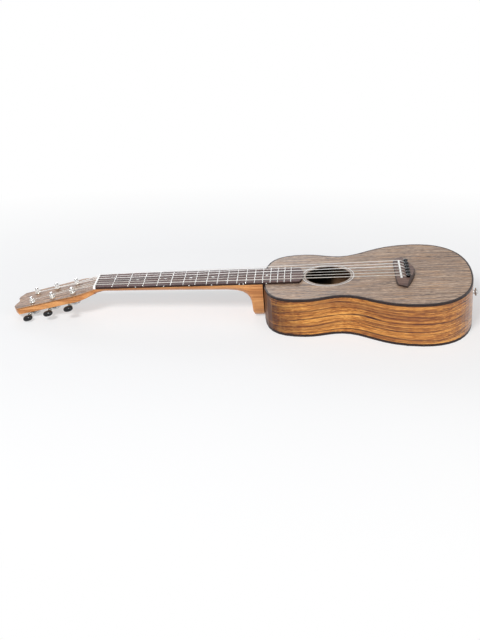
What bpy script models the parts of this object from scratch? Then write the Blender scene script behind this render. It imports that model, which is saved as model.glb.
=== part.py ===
"""A six-string guitalele, lying on its flat back.

Metres, +Z up. +X runs from the headstock to the tail, and -Y is the bass side.
The origin is in the middle of the flat back, which lies on the floor.
Everything is built in the neck frame: its origin is at the nut, its X runs along the strings, and its
Z = 0 is the top of the body. The sides are square to the top, and the body deepens towards the tail.
"""
import math

import bmesh
import bpy
from mathutils import Matrix, Vector
from mathutils.geometry import interpolate_bezier

# Clearances
GAP = 0.0003
RUN = 0.0003

# Scale and strings. Diameters run from string 1, the thinnest, to string 6, the lowest.
SCALE_LENGTH = 0.433
FRET_COUNT = 18
STRING_DIAMETERS = (0.00072, 0.00082, 0.00100, 0.00076, 0.00092, 0.00110)
NUT_STRING_SPAN = 0.0362
SADDLE_STRING_SPAN = 0.0530
NUT_ACTION = 0.0005
STRING_ROUNDNESS = 1

# Body outline, seen from above: widest and narrowest places, and the reach of the curve at each
BODY_LENGTH = 0.2943
UPPER_BOUT_X = 0.0580
UPPER_BOUT_HALF = 0.0797
WAIST_X = 0.1098
WAIST_HALF = 0.0687
LOWER_BOUT_X = 0.2175
LOWER_BOUT_HALF = 0.1059
FRONT_REACH = 0.0622
UPPER_FRONT_REACH = 0.0415
UPPER_REAR_REACH = 0.0207
WAIST_FRONT_REACH = 0.0182
WAIST_REAR_REACH = 0.0333
LOWER_FRONT_REACH = 0.0601
LOWER_REAR_REACH = 0.0542
TAIL_REACH = 0.0618
OUTLINE_STEPS = (8, 5, 8, 12)

# Body depth and walls
DEPTH_FRONT = 0.0545
DEPTH_TAIL = 0.0656
TOP_THICKNESS = 0.0025
BACK_THICKNESS = 0.0025
SIDE_THICKNESS = 0.002
TOP_BINDING_HEIGHT = 0.0034
BACK_BINDING_HEIGHT = 0.0034
LINING_WIDTH = 0.005
LINING_HEIGHT = 0.011
NECK_BLOCK_HALF = 0.028
NECK_BLOCK_LENGTH = 0.018
TAIL_BLOCK_HALF = 0.030
TAIL_BLOCK_LENGTH = 0.014
BLOCK_STEP = 0.002

# Sound hole and rosette, placed from the nut
HOLE_X = 0.3325
HOLE_RADIUS = 0.032
ROSETTE_INNER = 0.0331
ROSETTE_OUTER = 0.0378
ROSETTE_DEPTH = 0.001
HOLE_SIDES = 40

# Braces: distance from the body's front, half thickness and height
TOP_BRACES = {"top_brace_upper": (0.040, 0.004, 0.010), "top_brace_lower": (0.133, 0.004, 0.010)}
BACK_BRACES = {"back_brace_upper": (0.060, 0.004, 0.011), "back_brace_lower": (0.190, 0.0045, 0.012)}
BRACE_END_CLEARANCE = 0.010

# Fretboard, frets and nut
NECK_TO_BODY = 0.2403
NUT_WIDTH_HALF = 0.023
HALF_WIDTH_AT_LAST_FRET = 0.0255
FRETBOARD_THICKNESS = 0.0030
FRETBOARD_CORNER_X = 0.292
FRETBOARD_END_X = 0.2975
FRET_HEIGHT = 0.0008
FRET_WIDTH = 0.0018
NUT_THICKNESS = 0.0038
NUT_LIP = 0.0008
NUT_BACK_DROP = 0.0012

# Neck and heel: the shaft's depth, then the heel's curve as distances from the body and depths
SHAFT_DEPTH_AT_NUT = 0.0092
SHAFT_DEPTH_AT_HEEL = 0.0140
HEEL_DEPTH = 0.0532
HEEL_CURVE = ((0.052, 0.0141), (0.044, 0.0145), (0.037, 0.0152), (0.0295, 0.0173), (0.0233, 0.0217),
              (0.0195, 0.0272), (0.0176, 0.0340), (0.0167, 0.0410), (0.0163, 0.0490), (0.0140, HEEL_DEPTH))
SHAFT_ROUND = 1.65
HEEL_ROUND = 3.4
SHAFT_START = 0.010
NUT_END_DEPTH = 0.0106
NUT_END_ROUND = 3.0
SECTION_STEPS = 10

# Headstock: distances run from the nut's back face to the tip
HEAD_TILT = math.radians(12.0)
HEAD_STEP = 0.0004
HEAD_SHOULDER = 0.0245
HEAD_SHOULDER_HALF = 0.0302
HEAD_CORNER = 0.1178
HEAD_CORNER_HALF = 0.0268
HEAD_TIP = 0.1245
HEAD_TIP_HALF = 0.0165
HEAD_WOOD = 0.009
VENEER_THICKNESS = 0.0012
HEAD_BLEND = ((0.0003, 0.0088, 3.2), (0.007, 0.0089, 4.5), (0.014, HEAD_WOOD, 9.0))
HEAD_SQUARE = 26.0
TIP_DIP_HALF = 0.0125
TIP_DIP_DEPTH = 0.0036

# Tuners: posts, bushings, wheels, worms, plates, knobs
FIRST_POST = 0.0329
POST_SPACING = 0.0314
POST_Y = 0.0163
POST_RADIUS = 0.0024
POST_TOP = 0.0088
POST_SIDES = 10
POST_CHAMFER = 0.0008
STRING_HOLE_HEIGHT = 0.0070
STRING_HOLE_RADIUS = 0.00095
BUSHING_FLANGE_RADIUS = 0.0042
BUSHING_TOP = 0.0016
BUSHING_WALL = 0.0006
WHEEL_TEETH = 14
WHEEL_PITCH_RADIUS = 0.0060
WHEEL_TIP_RADIUS = 0.00655
WHEEL_ROOT_RADIUS = 0.0052
WHEEL_TOOTH_TIP = 0.0006
WHEEL_TOOTH_ROOT = 0.0015
WHEEL_THICKNESS = 0.0028
WORM_PITCH_RADIUS = 0.0025
WORM_TIP_RADIUS = 0.0031
WORM_SHAFT_RADIUS = 0.0017
WORM_THREAD_TIP = 0.0005
WORM_THREAD_ROOT = 0.0013
WORM_CRESTS = 3
WORM_COLUMNS = 8
WORM_AXIS_DEPTH = 0.0047
WORM_COLLAR_RADIUS = 0.0027
WORM_COLLAR_LENGTH = 0.0012
GEAR_SCREW_RADIUS = 0.0024
GEAR_SCREW_HEIGHT = 0.0013
PLATE_THICKNESS = 0.001
PLATE_HALF_WIDTH = 0.0072
PLATE_TOWARDS_NUT = 0.0112
PLATE_TOWARDS_TIP = 0.0125
EAR_INNER = 0.0055
EAR_THICKNESS = 0.001
EAR_HALF = 0.0032
EAR_BELOW_AXIS = 0.0032
PLATE_SCREW_BACK = 0.0088
PLATE_SCREW_SIDE = 0.0045
SCREW_RADIUS = 0.0009
SCREW_LENGTH = 0.0065
SCREW_HEAD_RADIUS = 0.0018
SCREW_HEAD_HEIGHT = 0.0012
KNOB_INNER_Y = 0.0297
KNOB_LENGTH = 0.0098
KNOB_HALF_WIDTH = 0.0066
KNOB_HALF_THICKNESS = 0.0029

# String windings on the posts
WIND_GAP = 0.0005
WIND_TURNS_PLAIN = 2.5
WIND_TURNS_WOUND = 2.0
WIND_START = 0.0025
WIND_LOOP_POINTS = 14
WIND_TAIL = 0.0025

# Bridge, saddle and pins. Distances along the body run from the saddle's middle.
SADDLE_X = 0.4343
SADDLE_HALF_THICKNESS = 0.0013
SADDLE_HALF_LENGTH = 0.0292
SADDLE_TOP = 0.0076
SADDLE_SLOT_DEPTH = 0.0035
BRIDGE_HEIGHT = 0.0055
BRIDGE_FRONT = 0.0079
BRIDGE_BELLY = 0.0203
BRIDGE_SHOULDER_Y = 0.0305
BRIDGE_FRONT_END_Y = 0.0450
BRIDGE_REAR_END_Y = 0.0520
BRIDGE_WING_HEIGHT = 0.0026
BRIDGE_WING_FRONT = 0.0055
BRIDGE_WING_REAR = 0.0064
BRIDGE_EDGE = 0.0009
BRIDGE_FACET = 0.0032
PIN_BEHIND_SADDLE = 0.0095
PIN_RADIUS = 0.00235
PIN_TIP_RADIUS = 0.0016
PIN_BOTTOM = 0.0115
PIN_HEAD_RADIUS = 0.0035
PIN_NECK_RISE = 0.0018
PIN_HEAD_HEIGHT = 0.0024
PIN_SIDES = 10
STRING_FROM_PIN = 0.0032
BALL_RADIUS = 0.0013
BALL_LENGTH = 0.0024
BALL_NECK = 0.0001
BRIDGE_PLATE_THICKNESS = 0.002
BRIDGE_PLATE_HALF = 0.031
BRIDGE_PLATE_FRONT = 0.008
BRIDGE_PLATE_REAR = 0.022

# Strap button at the tail
BUTTON_BASE_RADIUS = 0.0052
BUTTON_WAIST_RADIUS = 0.0033
BUTTON_FLANGE_RADIUS = 0.0062
BUTTON_HEIGHT = 0.0076
BUTTON_SCREW_RADIUS = 0.0015
BUTTON_SCREW_HEAD = 0.0030
BUTTON_SCREW_LENGTH = 0.0165
BUTTON_SCREW_HEAD_HEIGHT = 0.0016

# Colours as red, green, blue, then roughness and metallic
WOOD_TOP = ("walnut_top", (0.36, 0.28, 0.22), 0.45, 0.0)
WOOD_SIDE = ("koa_sides", (0.42, 0.20, 0.07), 0.35, 0.0)
WOOD_NECK = ("mahogany_neck", (0.52, 0.25, 0.10), 0.45, 0.0)
WOOD_DARK = ("dark_fretboard", (0.075, 0.055, 0.05), 0.5, 0.0)
WOOD_PALE = ("spruce_inside", (0.60, 0.44, 0.27), 0.7, 0.0)
WOOD_BRIDGE = ("bridge_walnut", (0.26, 0.18, 0.13), 0.45, 0.0)
BLACK_BINDING = ("black_binding", (0.02, 0.016, 0.016), 0.3, 0.0)
BONE = ("white_bone", (0.85, 0.84, 0.80), 0.35, 0.0)
CHROME = ("chrome", (0.78, 0.78, 0.78), 0.12, 1.0)
BUTTON_BLACK = ("glossy_black", (0.015, 0.013, 0.015), 0.12, 0.0)
NYLON = ("clear_nylon", (0.80, 0.79, 0.74), 0.3, 0.0)
WOUND = ("wound_silver", (0.62, 0.60, 0.56), 0.35, 0.8)
RING_PALE = ("rosette_pale", (0.66, 0.60, 0.50), 0.4, 0.0)

# Values that follow from the ones above
TAPER = math.atan((DEPTH_TAIL - DEPTH_FRONT) / BODY_LENGTH)
MIDDLE_X = NECK_TO_BODY + BODY_LENGTH / 2
TAIL_X = NECK_TO_BODY + BODY_LENGTH
FRETBOARD_TOP = GAP + FRETBOARD_THICKNESS
FRET_TOP = FRETBOARD_TOP + FRET_HEIGHT
NECK_ORIGIN = Vector((-MIDDLE_X * math.cos(TAPER) - (DEPTH_FRONT + DEPTH_TAIL) / 2 * math.sin(TAPER), 0,
                      DEPTH_FRONT * math.cos(TAPER) - NECK_TO_BODY * math.sin(TAPER)))
HEAD_MATRIX = Matrix.Translation((-NUT_THICKNESS, 0, -HEAD_STEP)) @ Matrix.Rotation(-HEAD_TILT, 4, "Y")
HEAD_WOOD_TOP = -VENEER_THICKNESS - GAP
HEAD_BACK = HEAD_WOOD_TOP - HEAD_WOOD
PLATE_TOP = HEAD_BACK - GAP
PLATE_BOTTOM = PLATE_TOP - PLATE_THICKNESS
WORM_Z = HEAD_BACK - WORM_AXIS_DEPTH
WORM_PITCH = 2 * math.pi * WHEEL_PITCH_RADIUS / WHEEL_TEETH
WORM_FROM_POST = WHEEL_PITCH_RADIUS + WORM_PITCH_RADIUS
BUSHING_INNER = POST_RADIUS + RUN
BUSHING_OUTER = BUSHING_INNER + BUSHING_WALL
POST_HOLE_RADIUS = BUSHING_OUTER + GAP
WHEEL_TOP = WORM_Z + WHEEL_THICKNESS / 2
PIN_X = SADDLE_X + PIN_BEHIND_SADDLE
BRIDGE_TOP = GAP + BRIDGE_HEIGHT
SOUNDBOARD_INSET = SIDE_THICKNESS + GAP
LINING_INSET = SIDE_THICKNESS + GAP


def start_clean():
    """Remove whatever the opened file holds."""
    for thing in list(bpy.data.objects):
        bpy.data.objects.remove(thing, do_unlink=True)


def material(look):
    """The look's Principled material, made once."""
    name, colour, roughness, metallic = look
    found = bpy.data.materials.get(name)
    if found:
        return found
    made = bpy.data.materials.new(name)
    made.use_nodes = True
    shader = made.node_tree.nodes["Principled BSDF"]
    shader.inputs["Base Color"].default_value = (*colour, 1)
    shader.inputs["Roughness"].default_value = roughness
    shader.inputs["Metallic"].default_value = metallic
    return made


def add_object(name, bm, look, parent=None, location=(0, 0, 0), rotation=(0, 0, 0), sharp=35):
    """Turn the bmesh into a named object with its material."""
    bmesh.ops.recalc_face_normals(bm, faces=bm.faces)
    mesh = bpy.data.meshes.new(name)
    bm.to_mesh(mesh)
    bm.free()
    mesh.materials.append(material(look))
    mesh.shade_smooth()
    mesh.set_sharp_from_angle(angle=math.radians(sharp))
    return place(name, mesh, parent, location, rotation)


def place(name, data, parent=None, location=(0, 0, 0), rotation=(0, 0, 0)):
    """Link an object for this data, which other objects may share."""
    thing = bpy.data.objects.new(name, data)
    bpy.context.collection.objects.link(thing)
    thing.parent = parent
    thing.location = location
    thing.rotation_euler = rotation
    return thing


def add_cutter(name, bm, parent=None):
    """A shape that only cuts or joins: left out of the build."""
    cutter = add_object(name, bm, BONE, parent)
    cutter.hide_render = True
    cutter.display_type = "WIRE"
    return cutter


def apply_boolean(target, cutter, operation="DIFFERENCE"):
    """Leave a live Boolean modifier on the target."""
    modifier = target.modifiers.new(cutter.name, "BOOLEAN")
    modifier.operation = operation
    modifier.solver = "EXACT"
    modifier.object = cutter


def add_loft(bm, rings, closed=False):
    """Skin equal rings of points into one solid, as a loop or with end caps."""
    layers = [[bm.verts.new(point) for point in ring] for ring in rings]
    pairs = list(zip(layers, layers[1:]))
    if closed:
        pairs.append((layers[-1], layers[0]))
    for first, second in pairs:
        for i in range(len(first)):
            j = (i + 1) % len(first)
            bm.faces.new((first[i], first[j], second[j], second[i]))
    if not closed:
        bm.faces.new(list(reversed(layers[0])))
        bm.faces.new(layers[-1])


def add_prism(bm, outline, bottom, top):
    """Extrude a flat outline upwards. Bottom and top are heights, or functions of x."""
    low = bottom if callable(bottom) else lambda x: bottom
    high = top if callable(top) else lambda x: top
    add_loft(bm, [[(x, y, low(x)) for x, y in outline], [(x, y, high(x)) for x, y in outline]])


def add_box(bm, x_range, y_range, z_range):
    """A plain box between the given limits."""
    (x0, x1), (y0, y1) = x_range, y_range
    add_prism(bm, [(x0, y0), (x1, y0), (x1, y1), (x0, y1)], *z_range)


def circle(radius, sides, centre=(0, 0), start=0.0):
    """Points round a circle."""
    cx, cy = centre
    angles = [start + 2 * math.pi * i / sides for i in range(sides)]
    return [(cx + radius * math.cos(a), cy + radius * math.sin(a)) for a in angles]


def add_turned(bm, profile, sides, matrix=Matrix()):
    """Turn (radius, height) steps round Z, with flat ends."""
    rings = []
    for radius, height in profile:
        rings.append([matrix @ Vector((x, y, height)) for x, y in circle(radius, sides)])
    add_loft(bm, rings)


def add_turned_ring(bm, profile, sides, matrix=Matrix()):
    """Turn a closed (radius, height) section round Z into a ring with a hole."""
    rings = []
    for i in range(sides):
        angle = 2 * math.pi * i / sides
        ring = [matrix @ Vector((r * math.cos(angle), r * math.sin(angle), z)) for r, z in profile]
        rings.append(ring)
    add_loft(bm, rings, closed=True)


def tube(name, points, swells, diameter, look, parent):
    """A round tube along the points, with filled ends. Swells widen it at a point."""
    curve = bpy.data.curves.new(name, "CURVE")
    curve.dimensions = "3D"
    curve.bevel_depth = diameter / 2
    curve.bevel_resolution = STRING_ROUNDNESS
    curve.use_fill_caps = True
    curve.materials.append(material(look))
    spline = curve.splines.new("POLY")
    spline.points.add(len(points) - 1)
    for knot, point, swell in zip(spline.points, points, swells):
        knot.co = (*point, 1)
        knot.radius = swell
    return place(name, curve, parent)


def settle(thing):
    """Turn the live Booleans into plain mesh, so that copies can share it."""
    graph = bpy.context.evaluated_depsgraph_get()
    mesh = bpy.data.meshes.new_from_object(thing.evaluated_get(graph))
    thing.modifiers.clear()
    thing.data = mesh
    return mesh


# Body outline

def half_outline():
    """The bass half's edge from the front's middle to the tail's middle, with +Y outwards."""
    front = Vector((0, 0))
    upper = Vector((UPPER_BOUT_X, UPPER_BOUT_HALF))
    waist = Vector((WAIST_X, WAIST_HALF))
    lower = Vector((LOWER_BOUT_X, LOWER_BOUT_HALF))
    tail = Vector((BODY_LENGTH, 0))
    along = Vector((1, 0))
    across = Vector((0, 1))
    spans = (
        (front, front + across * FRONT_REACH, upper - along * UPPER_FRONT_REACH, upper),
        (upper, upper + along * UPPER_REAR_REACH, waist - along * WAIST_FRONT_REACH, waist),
        (waist, waist + along * WAIST_REAR_REACH, lower - along * LOWER_FRONT_REACH, lower),
        (lower, lower + along * LOWER_REAR_REACH, tail + across * TAIL_REACH, tail),
    )
    points = [front]
    for span, steps in zip(spans, OUTLINE_STEPS):
        points += interpolate_bezier(*span, steps + 1)[1:]
    return [Vector((p.x + NECK_TO_BODY, p.y)) for p in points]


def outline(inset=0.0):
    """The closed edge of the body, moved inwards by inset, from the front round the +Y side."""
    half = half_outline()
    edge = half + [Vector((p.x, -p.y)) for p in reversed(half[1:-1])]
    moved = []
    for i, point in enumerate(edge):
        tangent = (edge[(i + 1) % len(edge)] - edge[i - 1]).normalized()
        moved.append(point + Vector((tangent.y, -tangent.x)) * inset)
    return moved


def half_edge(inset, side):
    """One side's edge from front to tail, ending half a gap from the middle."""
    points = outline(inset)[:sum(OUTLINE_STEPS) + 1]
    points[0] = Vector((points[0].x, GAP / 2))
    points[-1] = Vector((points[-1].x, GAP / 2))
    return [Vector((p.x, p.y * side)) for p in points]


def half_width(x, inset):
    """Half the body's width at x, inside an edge moved inwards by inset."""
    points = outline(inset)[:sum(OUTLINE_STEPS) + 1]
    for a, b in zip(points, points[1:]):
        if a.x <= x <= b.x:
            return a.y + (b.y - a.y) * (x - a.x) / max(b.x - a.x, 1e-9)
    return 0.0


def back_z(x, above=0.0):
    """Height of the back's outer face at x, plus a height above it."""
    return above - DEPTH_FRONT - (x - NECK_TO_BODY) * math.tan(TAPER)


def above_back(above):
    """A height above the back's outer face, as a function of x."""
    return lambda x: back_z(x, above)


# Body

def make_soundboard(frame, pin_cutter):
    """The top plate, with its sound hole, rosette groove and pin holes."""
    bm = bmesh.new()
    add_prism(bm, outline(SOUNDBOARD_INSET), -TOP_THICKNESS, 0)
    board = add_object("soundboard", bm, WOOD_TOP, frame)
    hole = bmesh.new()
    add_prism(hole, circle(HOLE_RADIUS, HOLE_SIDES, (HOLE_X, 0)), -0.02, 0.02)
    apply_boolean(board, add_cutter("cut_sound_hole", hole, frame))
    groove = bmesh.new()
    section = ((ROSETTE_INNER - GAP, 0.004), (ROSETTE_OUTER + GAP, 0.004),
               (ROSETTE_OUTER + GAP, -ROSETTE_DEPTH - GAP), (ROSETTE_INNER - GAP, -ROSETTE_DEPTH - GAP))
    add_turned_ring(groove, section, HOLE_SIDES, Matrix.Translation((HOLE_X, 0, 0)))
    apply_boolean(board, add_cutter("cut_rosette_groove", groove, frame))
    apply_boolean(board, pin_cutter)


def make_rosette(frame):
    """The ring let into the top round the sound hole."""
    bm = bmesh.new()
    section = ((ROSETTE_INNER, 0), (ROSETTE_OUTER, 0),
               (ROSETTE_OUTER, -ROSETTE_DEPTH), (ROSETTE_INNER, -ROSETTE_DEPTH))
    add_turned_ring(bm, section, HOLE_SIDES)
    add_object("rosette", bm, RING_PALE, frame, (HOLE_X, 0, 0))


def make_back_plate(frame):
    """The flat back that the part lies on."""
    bm = bmesh.new()
    add_prism(bm, outline(SOUNDBOARD_INSET), back_z, above_back(BACK_THICKNESS))
    add_object("back_plate", bm, WOOD_SIDE, frame)


def make_bindings(frame):
    """The strips that cap the body's two edges, in line with the sides."""
    spans = {
        "top_binding": (lambda x: -TOP_BINDING_HEIGHT, lambda x: 0),
        "back_binding": (back_z, above_back(BACK_BINDING_HEIGHT)),
    }
    outer = outline()
    inner = outline(SIDE_THICKNESS)
    for name, (low, high) in spans.items():
        bm = bmesh.new()
        rings = []
        for a, b in zip(outer, inner):
            rings.append([(a.x, a.y, low(a.x)), (a.x, a.y, high(a.x)),
                          (b.x, b.y, high(b.x)), (b.x, b.y, low(b.x))])
        add_loft(bm, rings, closed=True)
        add_object(name, bm, BLACK_BINDING, frame)


def make_side(name, side, frame, screw_cutter):
    """One bent side, from the front's middle to the tail's middle."""
    low = above_back(BACK_BINDING_HEIGHT + GAP)
    high = -TOP_BINDING_HEIGHT - GAP
    bm = bmesh.new()
    rings = []
    for a, b in zip(half_edge(0, side), half_edge(SIDE_THICKNESS, side)):
        rings.append([(a.x, a.y, low(a.x)), (a.x, a.y, high), (b.x, b.y, high), (b.x, b.y, low(b.x))])
    add_loft(bm, rings)
    apply_boolean(add_object(name, bm, WOOD_SIDE, frame), screw_cutter)


def make_linings(frame):
    """Triangular strips that back the glue joints of top and back with the sides."""
    outer = outline(LINING_INSET)
    inner = outline(LINING_INSET + LINING_WIDTH)
    under = TOP_THICKNESS + GAP
    low = BACK_THICKNESS + GAP
    spans = {
        "top_lining": (lambda x: -under, lambda x: -under - LINING_HEIGHT),
        "back_lining": (above_back(low), above_back(low + LINING_HEIGHT)),
    }
    for name, (glued, thin) in spans.items():
        bm = bmesh.new()
        rings = []
        for a, b in zip(outer, inner):
            rings.append([(a.x, a.y, glued(a.x)), (b.x, b.y, glued(b.x)), (a.x, a.y, thin(a.x))])
        add_loft(bm, rings, closed=True)
        add_object(name, bm, WOOD_PALE, frame)


def block_outline(inset, half, inner_x):
    """A block's plan: the body's inner edge within half, closed by a straight inner face."""
    points = [p for p in outline(inset) if (p.x < MIDDLE_X) == (inner_x < MIDDLE_X)]
    points.sort(key=lambda p: p.y)
    plan = []
    for p, q in zip(points, points[1:]):
        for limit in (-half, half):
            if p.y <= limit < q.y:
                plan.append((p.x + (q.x - p.x) * (limit - p.y) / (q.y - p.y), limit))
        if -half < q.y < half:
            plan.append((q.x, q.y))
    return plan + [(inner_x, half), (inner_x, -half)]


def make_blocks(frame, screw_cutter):
    """The two blocks: full height inside the linings, and out to the sides between them."""
    low = BACK_THICKNESS + GAP
    under = TOP_THICKNESS + GAP
    step = LINING_HEIGHT + GAP
    inset = SIDE_THICKNESS + GAP
    ends = {
        "neck_block": (NECK_BLOCK_HALF, NECK_TO_BODY + inset + NECK_BLOCK_LENGTH, -1),
        "tail_block": (TAIL_BLOCK_HALF, TAIL_X - inset - TAIL_BLOCK_LENGTH, 1),
    }
    for name, (half, inner_x, outwards) in ends.items():
        bm = bmesh.new()
        plan = block_outline(inset + LINING_WIDTH + GAP, half, inner_x)
        add_prism(bm, plan, above_back(low), -under)
        block = add_object(name, bm, WOOD_PALE, frame)
        tongue = bmesh.new()
        plan = block_outline(inset, half - BLOCK_STEP, inner_x + outwards * BLOCK_STEP)
        add_prism(tongue, plan, above_back(low + step), -under - step)
        apply_boolean(block, add_cutter(f"join_{name}", tongue, frame), "UNION")
        if name == "tail_block":
            apply_boolean(block, screw_cutter)


def make_braces(frame):
    """Bars across the top, either side of the sound hole, and across the back."""
    under = TOP_THICKNESS + GAP
    low = BACK_THICKNESS + GAP
    reach = LINING_INSET + LINING_WIDTH + BRACE_END_CLEARANCE
    for name, (distance, half, height) in (TOP_BRACES | BACK_BRACES).items():
        x = NECK_TO_BODY + distance
        wide = half_width(x, reach)
        span = (above_back(low), above_back(low + height))
        if name in TOP_BRACES:
            span = (-under - height, -under)
        bm = bmesh.new()
        add_box(bm, (x - half, x + half), (-wide, wide), span)
        add_object(name, bm, WOOD_PALE, frame)


# Neck

def board_half(x):
    """Half the fretboard's width at a distance from the nut."""
    last = fret_x(FRET_COUNT)
    return NUT_WIDTH_HALF + (HALF_WIDTH_AT_LAST_FRET - NUT_WIDTH_HALF) * x / last


def fret_x(number):
    """Distance from the nut to a fret."""
    return SCALE_LENGTH * (1 - 2 ** (-number / 12))


def neck_section(half, depth, roundness):
    """Points (y, z) of a flat-topped section; a higher roundness gives squarer corners."""
    points = []
    for i in range(SECTION_STEPS + 1):
        angle = math.pi * i / SECTION_STEPS
        c, s = math.cos(angle), math.sin(angle)
        y = math.copysign(abs(c) ** (2 / roundness), c) * half
        points.append((y, -(abs(s) ** (2 / roundness)) * depth))
    return points


def heel_rings():
    """Sections from the body's front wall to the plain shaft, in the neck frame."""
    end = NECK_TO_BODY - GAP
    stations = [(end, HEEL_DEPTH, HEEL_ROUND)]
    deepest = HEEL_DEPTH - SHAFT_DEPTH_AT_HEEL
    for from_body, depth in reversed(HEEL_CURVE):
        share = (depth - SHAFT_DEPTH_AT_HEEL) / deepest
        roundness = SHAFT_ROUND + (HEEL_ROUND - SHAFT_ROUND) * max(share, 0) ** 0.5
        stations.append((NECK_TO_BODY - from_body, depth, roundness))
    rings = []
    for x, depth, roundness in stations:
        rings.append([Vector((x, y, z)) for y, z in neck_section(board_half(x), depth, roundness)])
    return rings


def shaft_rings():
    """Rounded sections from the heel to the nut, where they swell into the headstock, in the neck frame."""
    start = NECK_TO_BODY - HEEL_CURVE[0][0]
    rings = []
    for x in (start * 0.66, start * 0.33, SHAFT_START):
        depth = SHAFT_DEPTH_AT_NUT + (SHAFT_DEPTH_AT_HEEL - SHAFT_DEPTH_AT_NUT) * x / start
        rings.append([Vector((x, y, z)) for y, z in neck_section(board_half(x), depth, SHAFT_ROUND)])
    section = neck_section(NUT_WIDTH_HALF, NUT_END_DEPTH, NUT_END_ROUND)
    rings.append([Vector((-NUT_THICKNESS, y, z)) for y, z in section])
    return rings


def head_half(distance):
    """Half the headstock's width at a distance from the nut's back face."""
    corners = ((0, NUT_WIDTH_HALF), (HEAD_SHOULDER, HEAD_SHOULDER_HALF),
               (HEAD_CORNER, HEAD_CORNER_HALF), (HEAD_TIP, HEAD_TIP_HALF))
    for (s0, w0), (s1, w1) in zip(corners, corners[1:]):
        if distance <= s1:
            return w0 + (w1 - w0) * (distance - s0) / (s1 - s0)
    return HEAD_TIP_HALF


def head_rings():
    """Sections of the headstock's wood from the nut to the tip, in the neck frame."""
    stations = list(HEAD_BLEND)
    stations += [(s, HEAD_WOOD, HEAD_SQUARE) for s in (HEAD_SHOULDER, HEAD_CORNER, HEAD_TIP)]
    rings = []
    for s, depth, roundness in stations:
        section = neck_section(head_half(s), depth, roundness)
        rings.append([HEAD_MATRIX @ Vector((-s, y, z + HEAD_WOOD_TOP)) for y, z in section])
    return rings


def make_neck(frame, head_cutter):
    """Heel, shaft and headstock in one piece of wood."""
    bm = bmesh.new()
    add_loft(bm, heel_rings() + shaft_rings() + head_rings())
    neck = add_object("neck", bm, WOOD_NECK, frame, sharp=30)
    apply_boolean(neck, head_cutter)


def make_veneer(head, head_cutter):
    """The thin face glued on the headstock."""
    stations = (GAP, HEAD_SHOULDER, HEAD_CORNER, HEAD_TIP)
    treble = [(-s, head_half(s)) for s in stations]
    bass = [(-s, -head_half(s)) for s in reversed(stations)]
    bm = bmesh.new()
    add_prism(bm, treble + bass, -VENEER_THICKNESS, 0)
    apply_boolean(add_object("headstock_veneer", bm, WOOD_TOP, head), head_cutter)


def make_fretboard(frame):
    """The fingerboard with its frets pressed in, and a bowed end at the sound hole."""
    stations = [(0, 0)]
    half = FRET_WIDTH / 2
    crown = ((-1, 0), (-0.7, 0.7), (0, 1), (0.7, 0.7), (1, 0))
    for number in range(1, FRET_COUNT + 1):
        stations += [(fret_x(number) + dx * half, dz * FRET_HEIGHT) for dx, dz in crown]
    stations.append((stations[-1][0] + half, 0))
    rings = []
    for x, rise in stations:
        wide = board_half(x)
        top = FRETBOARD_TOP + rise
        rings.append([(x, -wide, GAP), (x, wide, GAP), (x, wide, top), (x, -wide, top)])
    bm = bmesh.new()
    add_loft(bm, rings)
    board = add_object("fretboard", bm, WOOD_DARK, frame)
    start = fret_x(FRET_COUNT) + half
    bow = FRETBOARD_END_X - FRETBOARD_CORNER_X
    plan = [(start, -board_half(start))]
    for i in range(-4, 5):
        share = i / 4
        plan.append((FRETBOARD_END_X - bow * share * share, board_half(FRETBOARD_CORNER_X) * share))
    plan.append((start, board_half(start)))
    end = bmesh.new()
    add_prism(end, plan, GAP, FRETBOARD_TOP)
    apply_boolean(board, add_cutter("join_fretboard_end", end, frame), "UNION")


# Strings: number 1 is the treble's outer string, number 6 the bass's

def share_across(number):
    """From 0.5 at string 1 to -0.5 at string 6."""
    return 0.5 - (number - 1) / 5


def string_at_nut(number):
    """Middle of a string above the nut's front edge."""
    z = FRET_TOP + NUT_ACTION + STRING_DIAMETERS[number - 1] / 2
    return Vector((0, share_across(number) * NUT_STRING_SPAN, z))


def string_at_saddle(number):
    """Middle of a string above the saddle."""
    z = SADDLE_TOP + GAP + STRING_DIAMETERS[number - 1] / 2
    return Vector((SADDLE_X, share_across(number) * SADDLE_STRING_SPAN, z))


def post_place(number):
    """Distance from the nut, and y, of a string's post on the headstock."""
    side = 1 if number <= 3 else -1
    order = number - 1 if side > 0 else 6 - number
    return FIRST_POST + order * POST_SPACING, POST_Y * side


def wind_turns(number):
    """Turns on the post: thick wound strings take fewer."""
    return WIND_TURNS_PLAIN if number <= 3 else WIND_TURNS_WOUND


def winding_points(number):
    """The turns on the post, from where the string meets them up to its cut end, in the neck frame."""
    diameter = STRING_DIAMETERS[number - 1]
    radius = POST_RADIUS + RUN + diameter / 2
    distance, y = post_place(number)
    to_nut = Vector((distance, string_at_nut(number).y - y))
    inner = 1 if y < 0 else -1
    start = math.atan2(to_nut.y, to_nut.x) + inner * math.acos(radius / to_nut.length)
    turns = wind_turns(number)
    steps = round(WIND_LOOP_POINTS * turns)
    rise = (diameter + WIND_GAP) / WIND_LOOP_POINTS
    points = []
    for i in range(steps + 1):
        angle = start + inner * 2 * math.pi * i / WIND_LOOP_POINTS
        spot = (radius * math.cos(angle) - distance, radius * math.sin(angle) + y, WIND_START + rise * i)
        points.append(Vector(spot))
    last = (points[-1] - points[-2]).normalized()
    points.append(points[-1] + last * WIND_TAIL)
    return [HEAD_MATRIX @ point for point in points]


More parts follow.
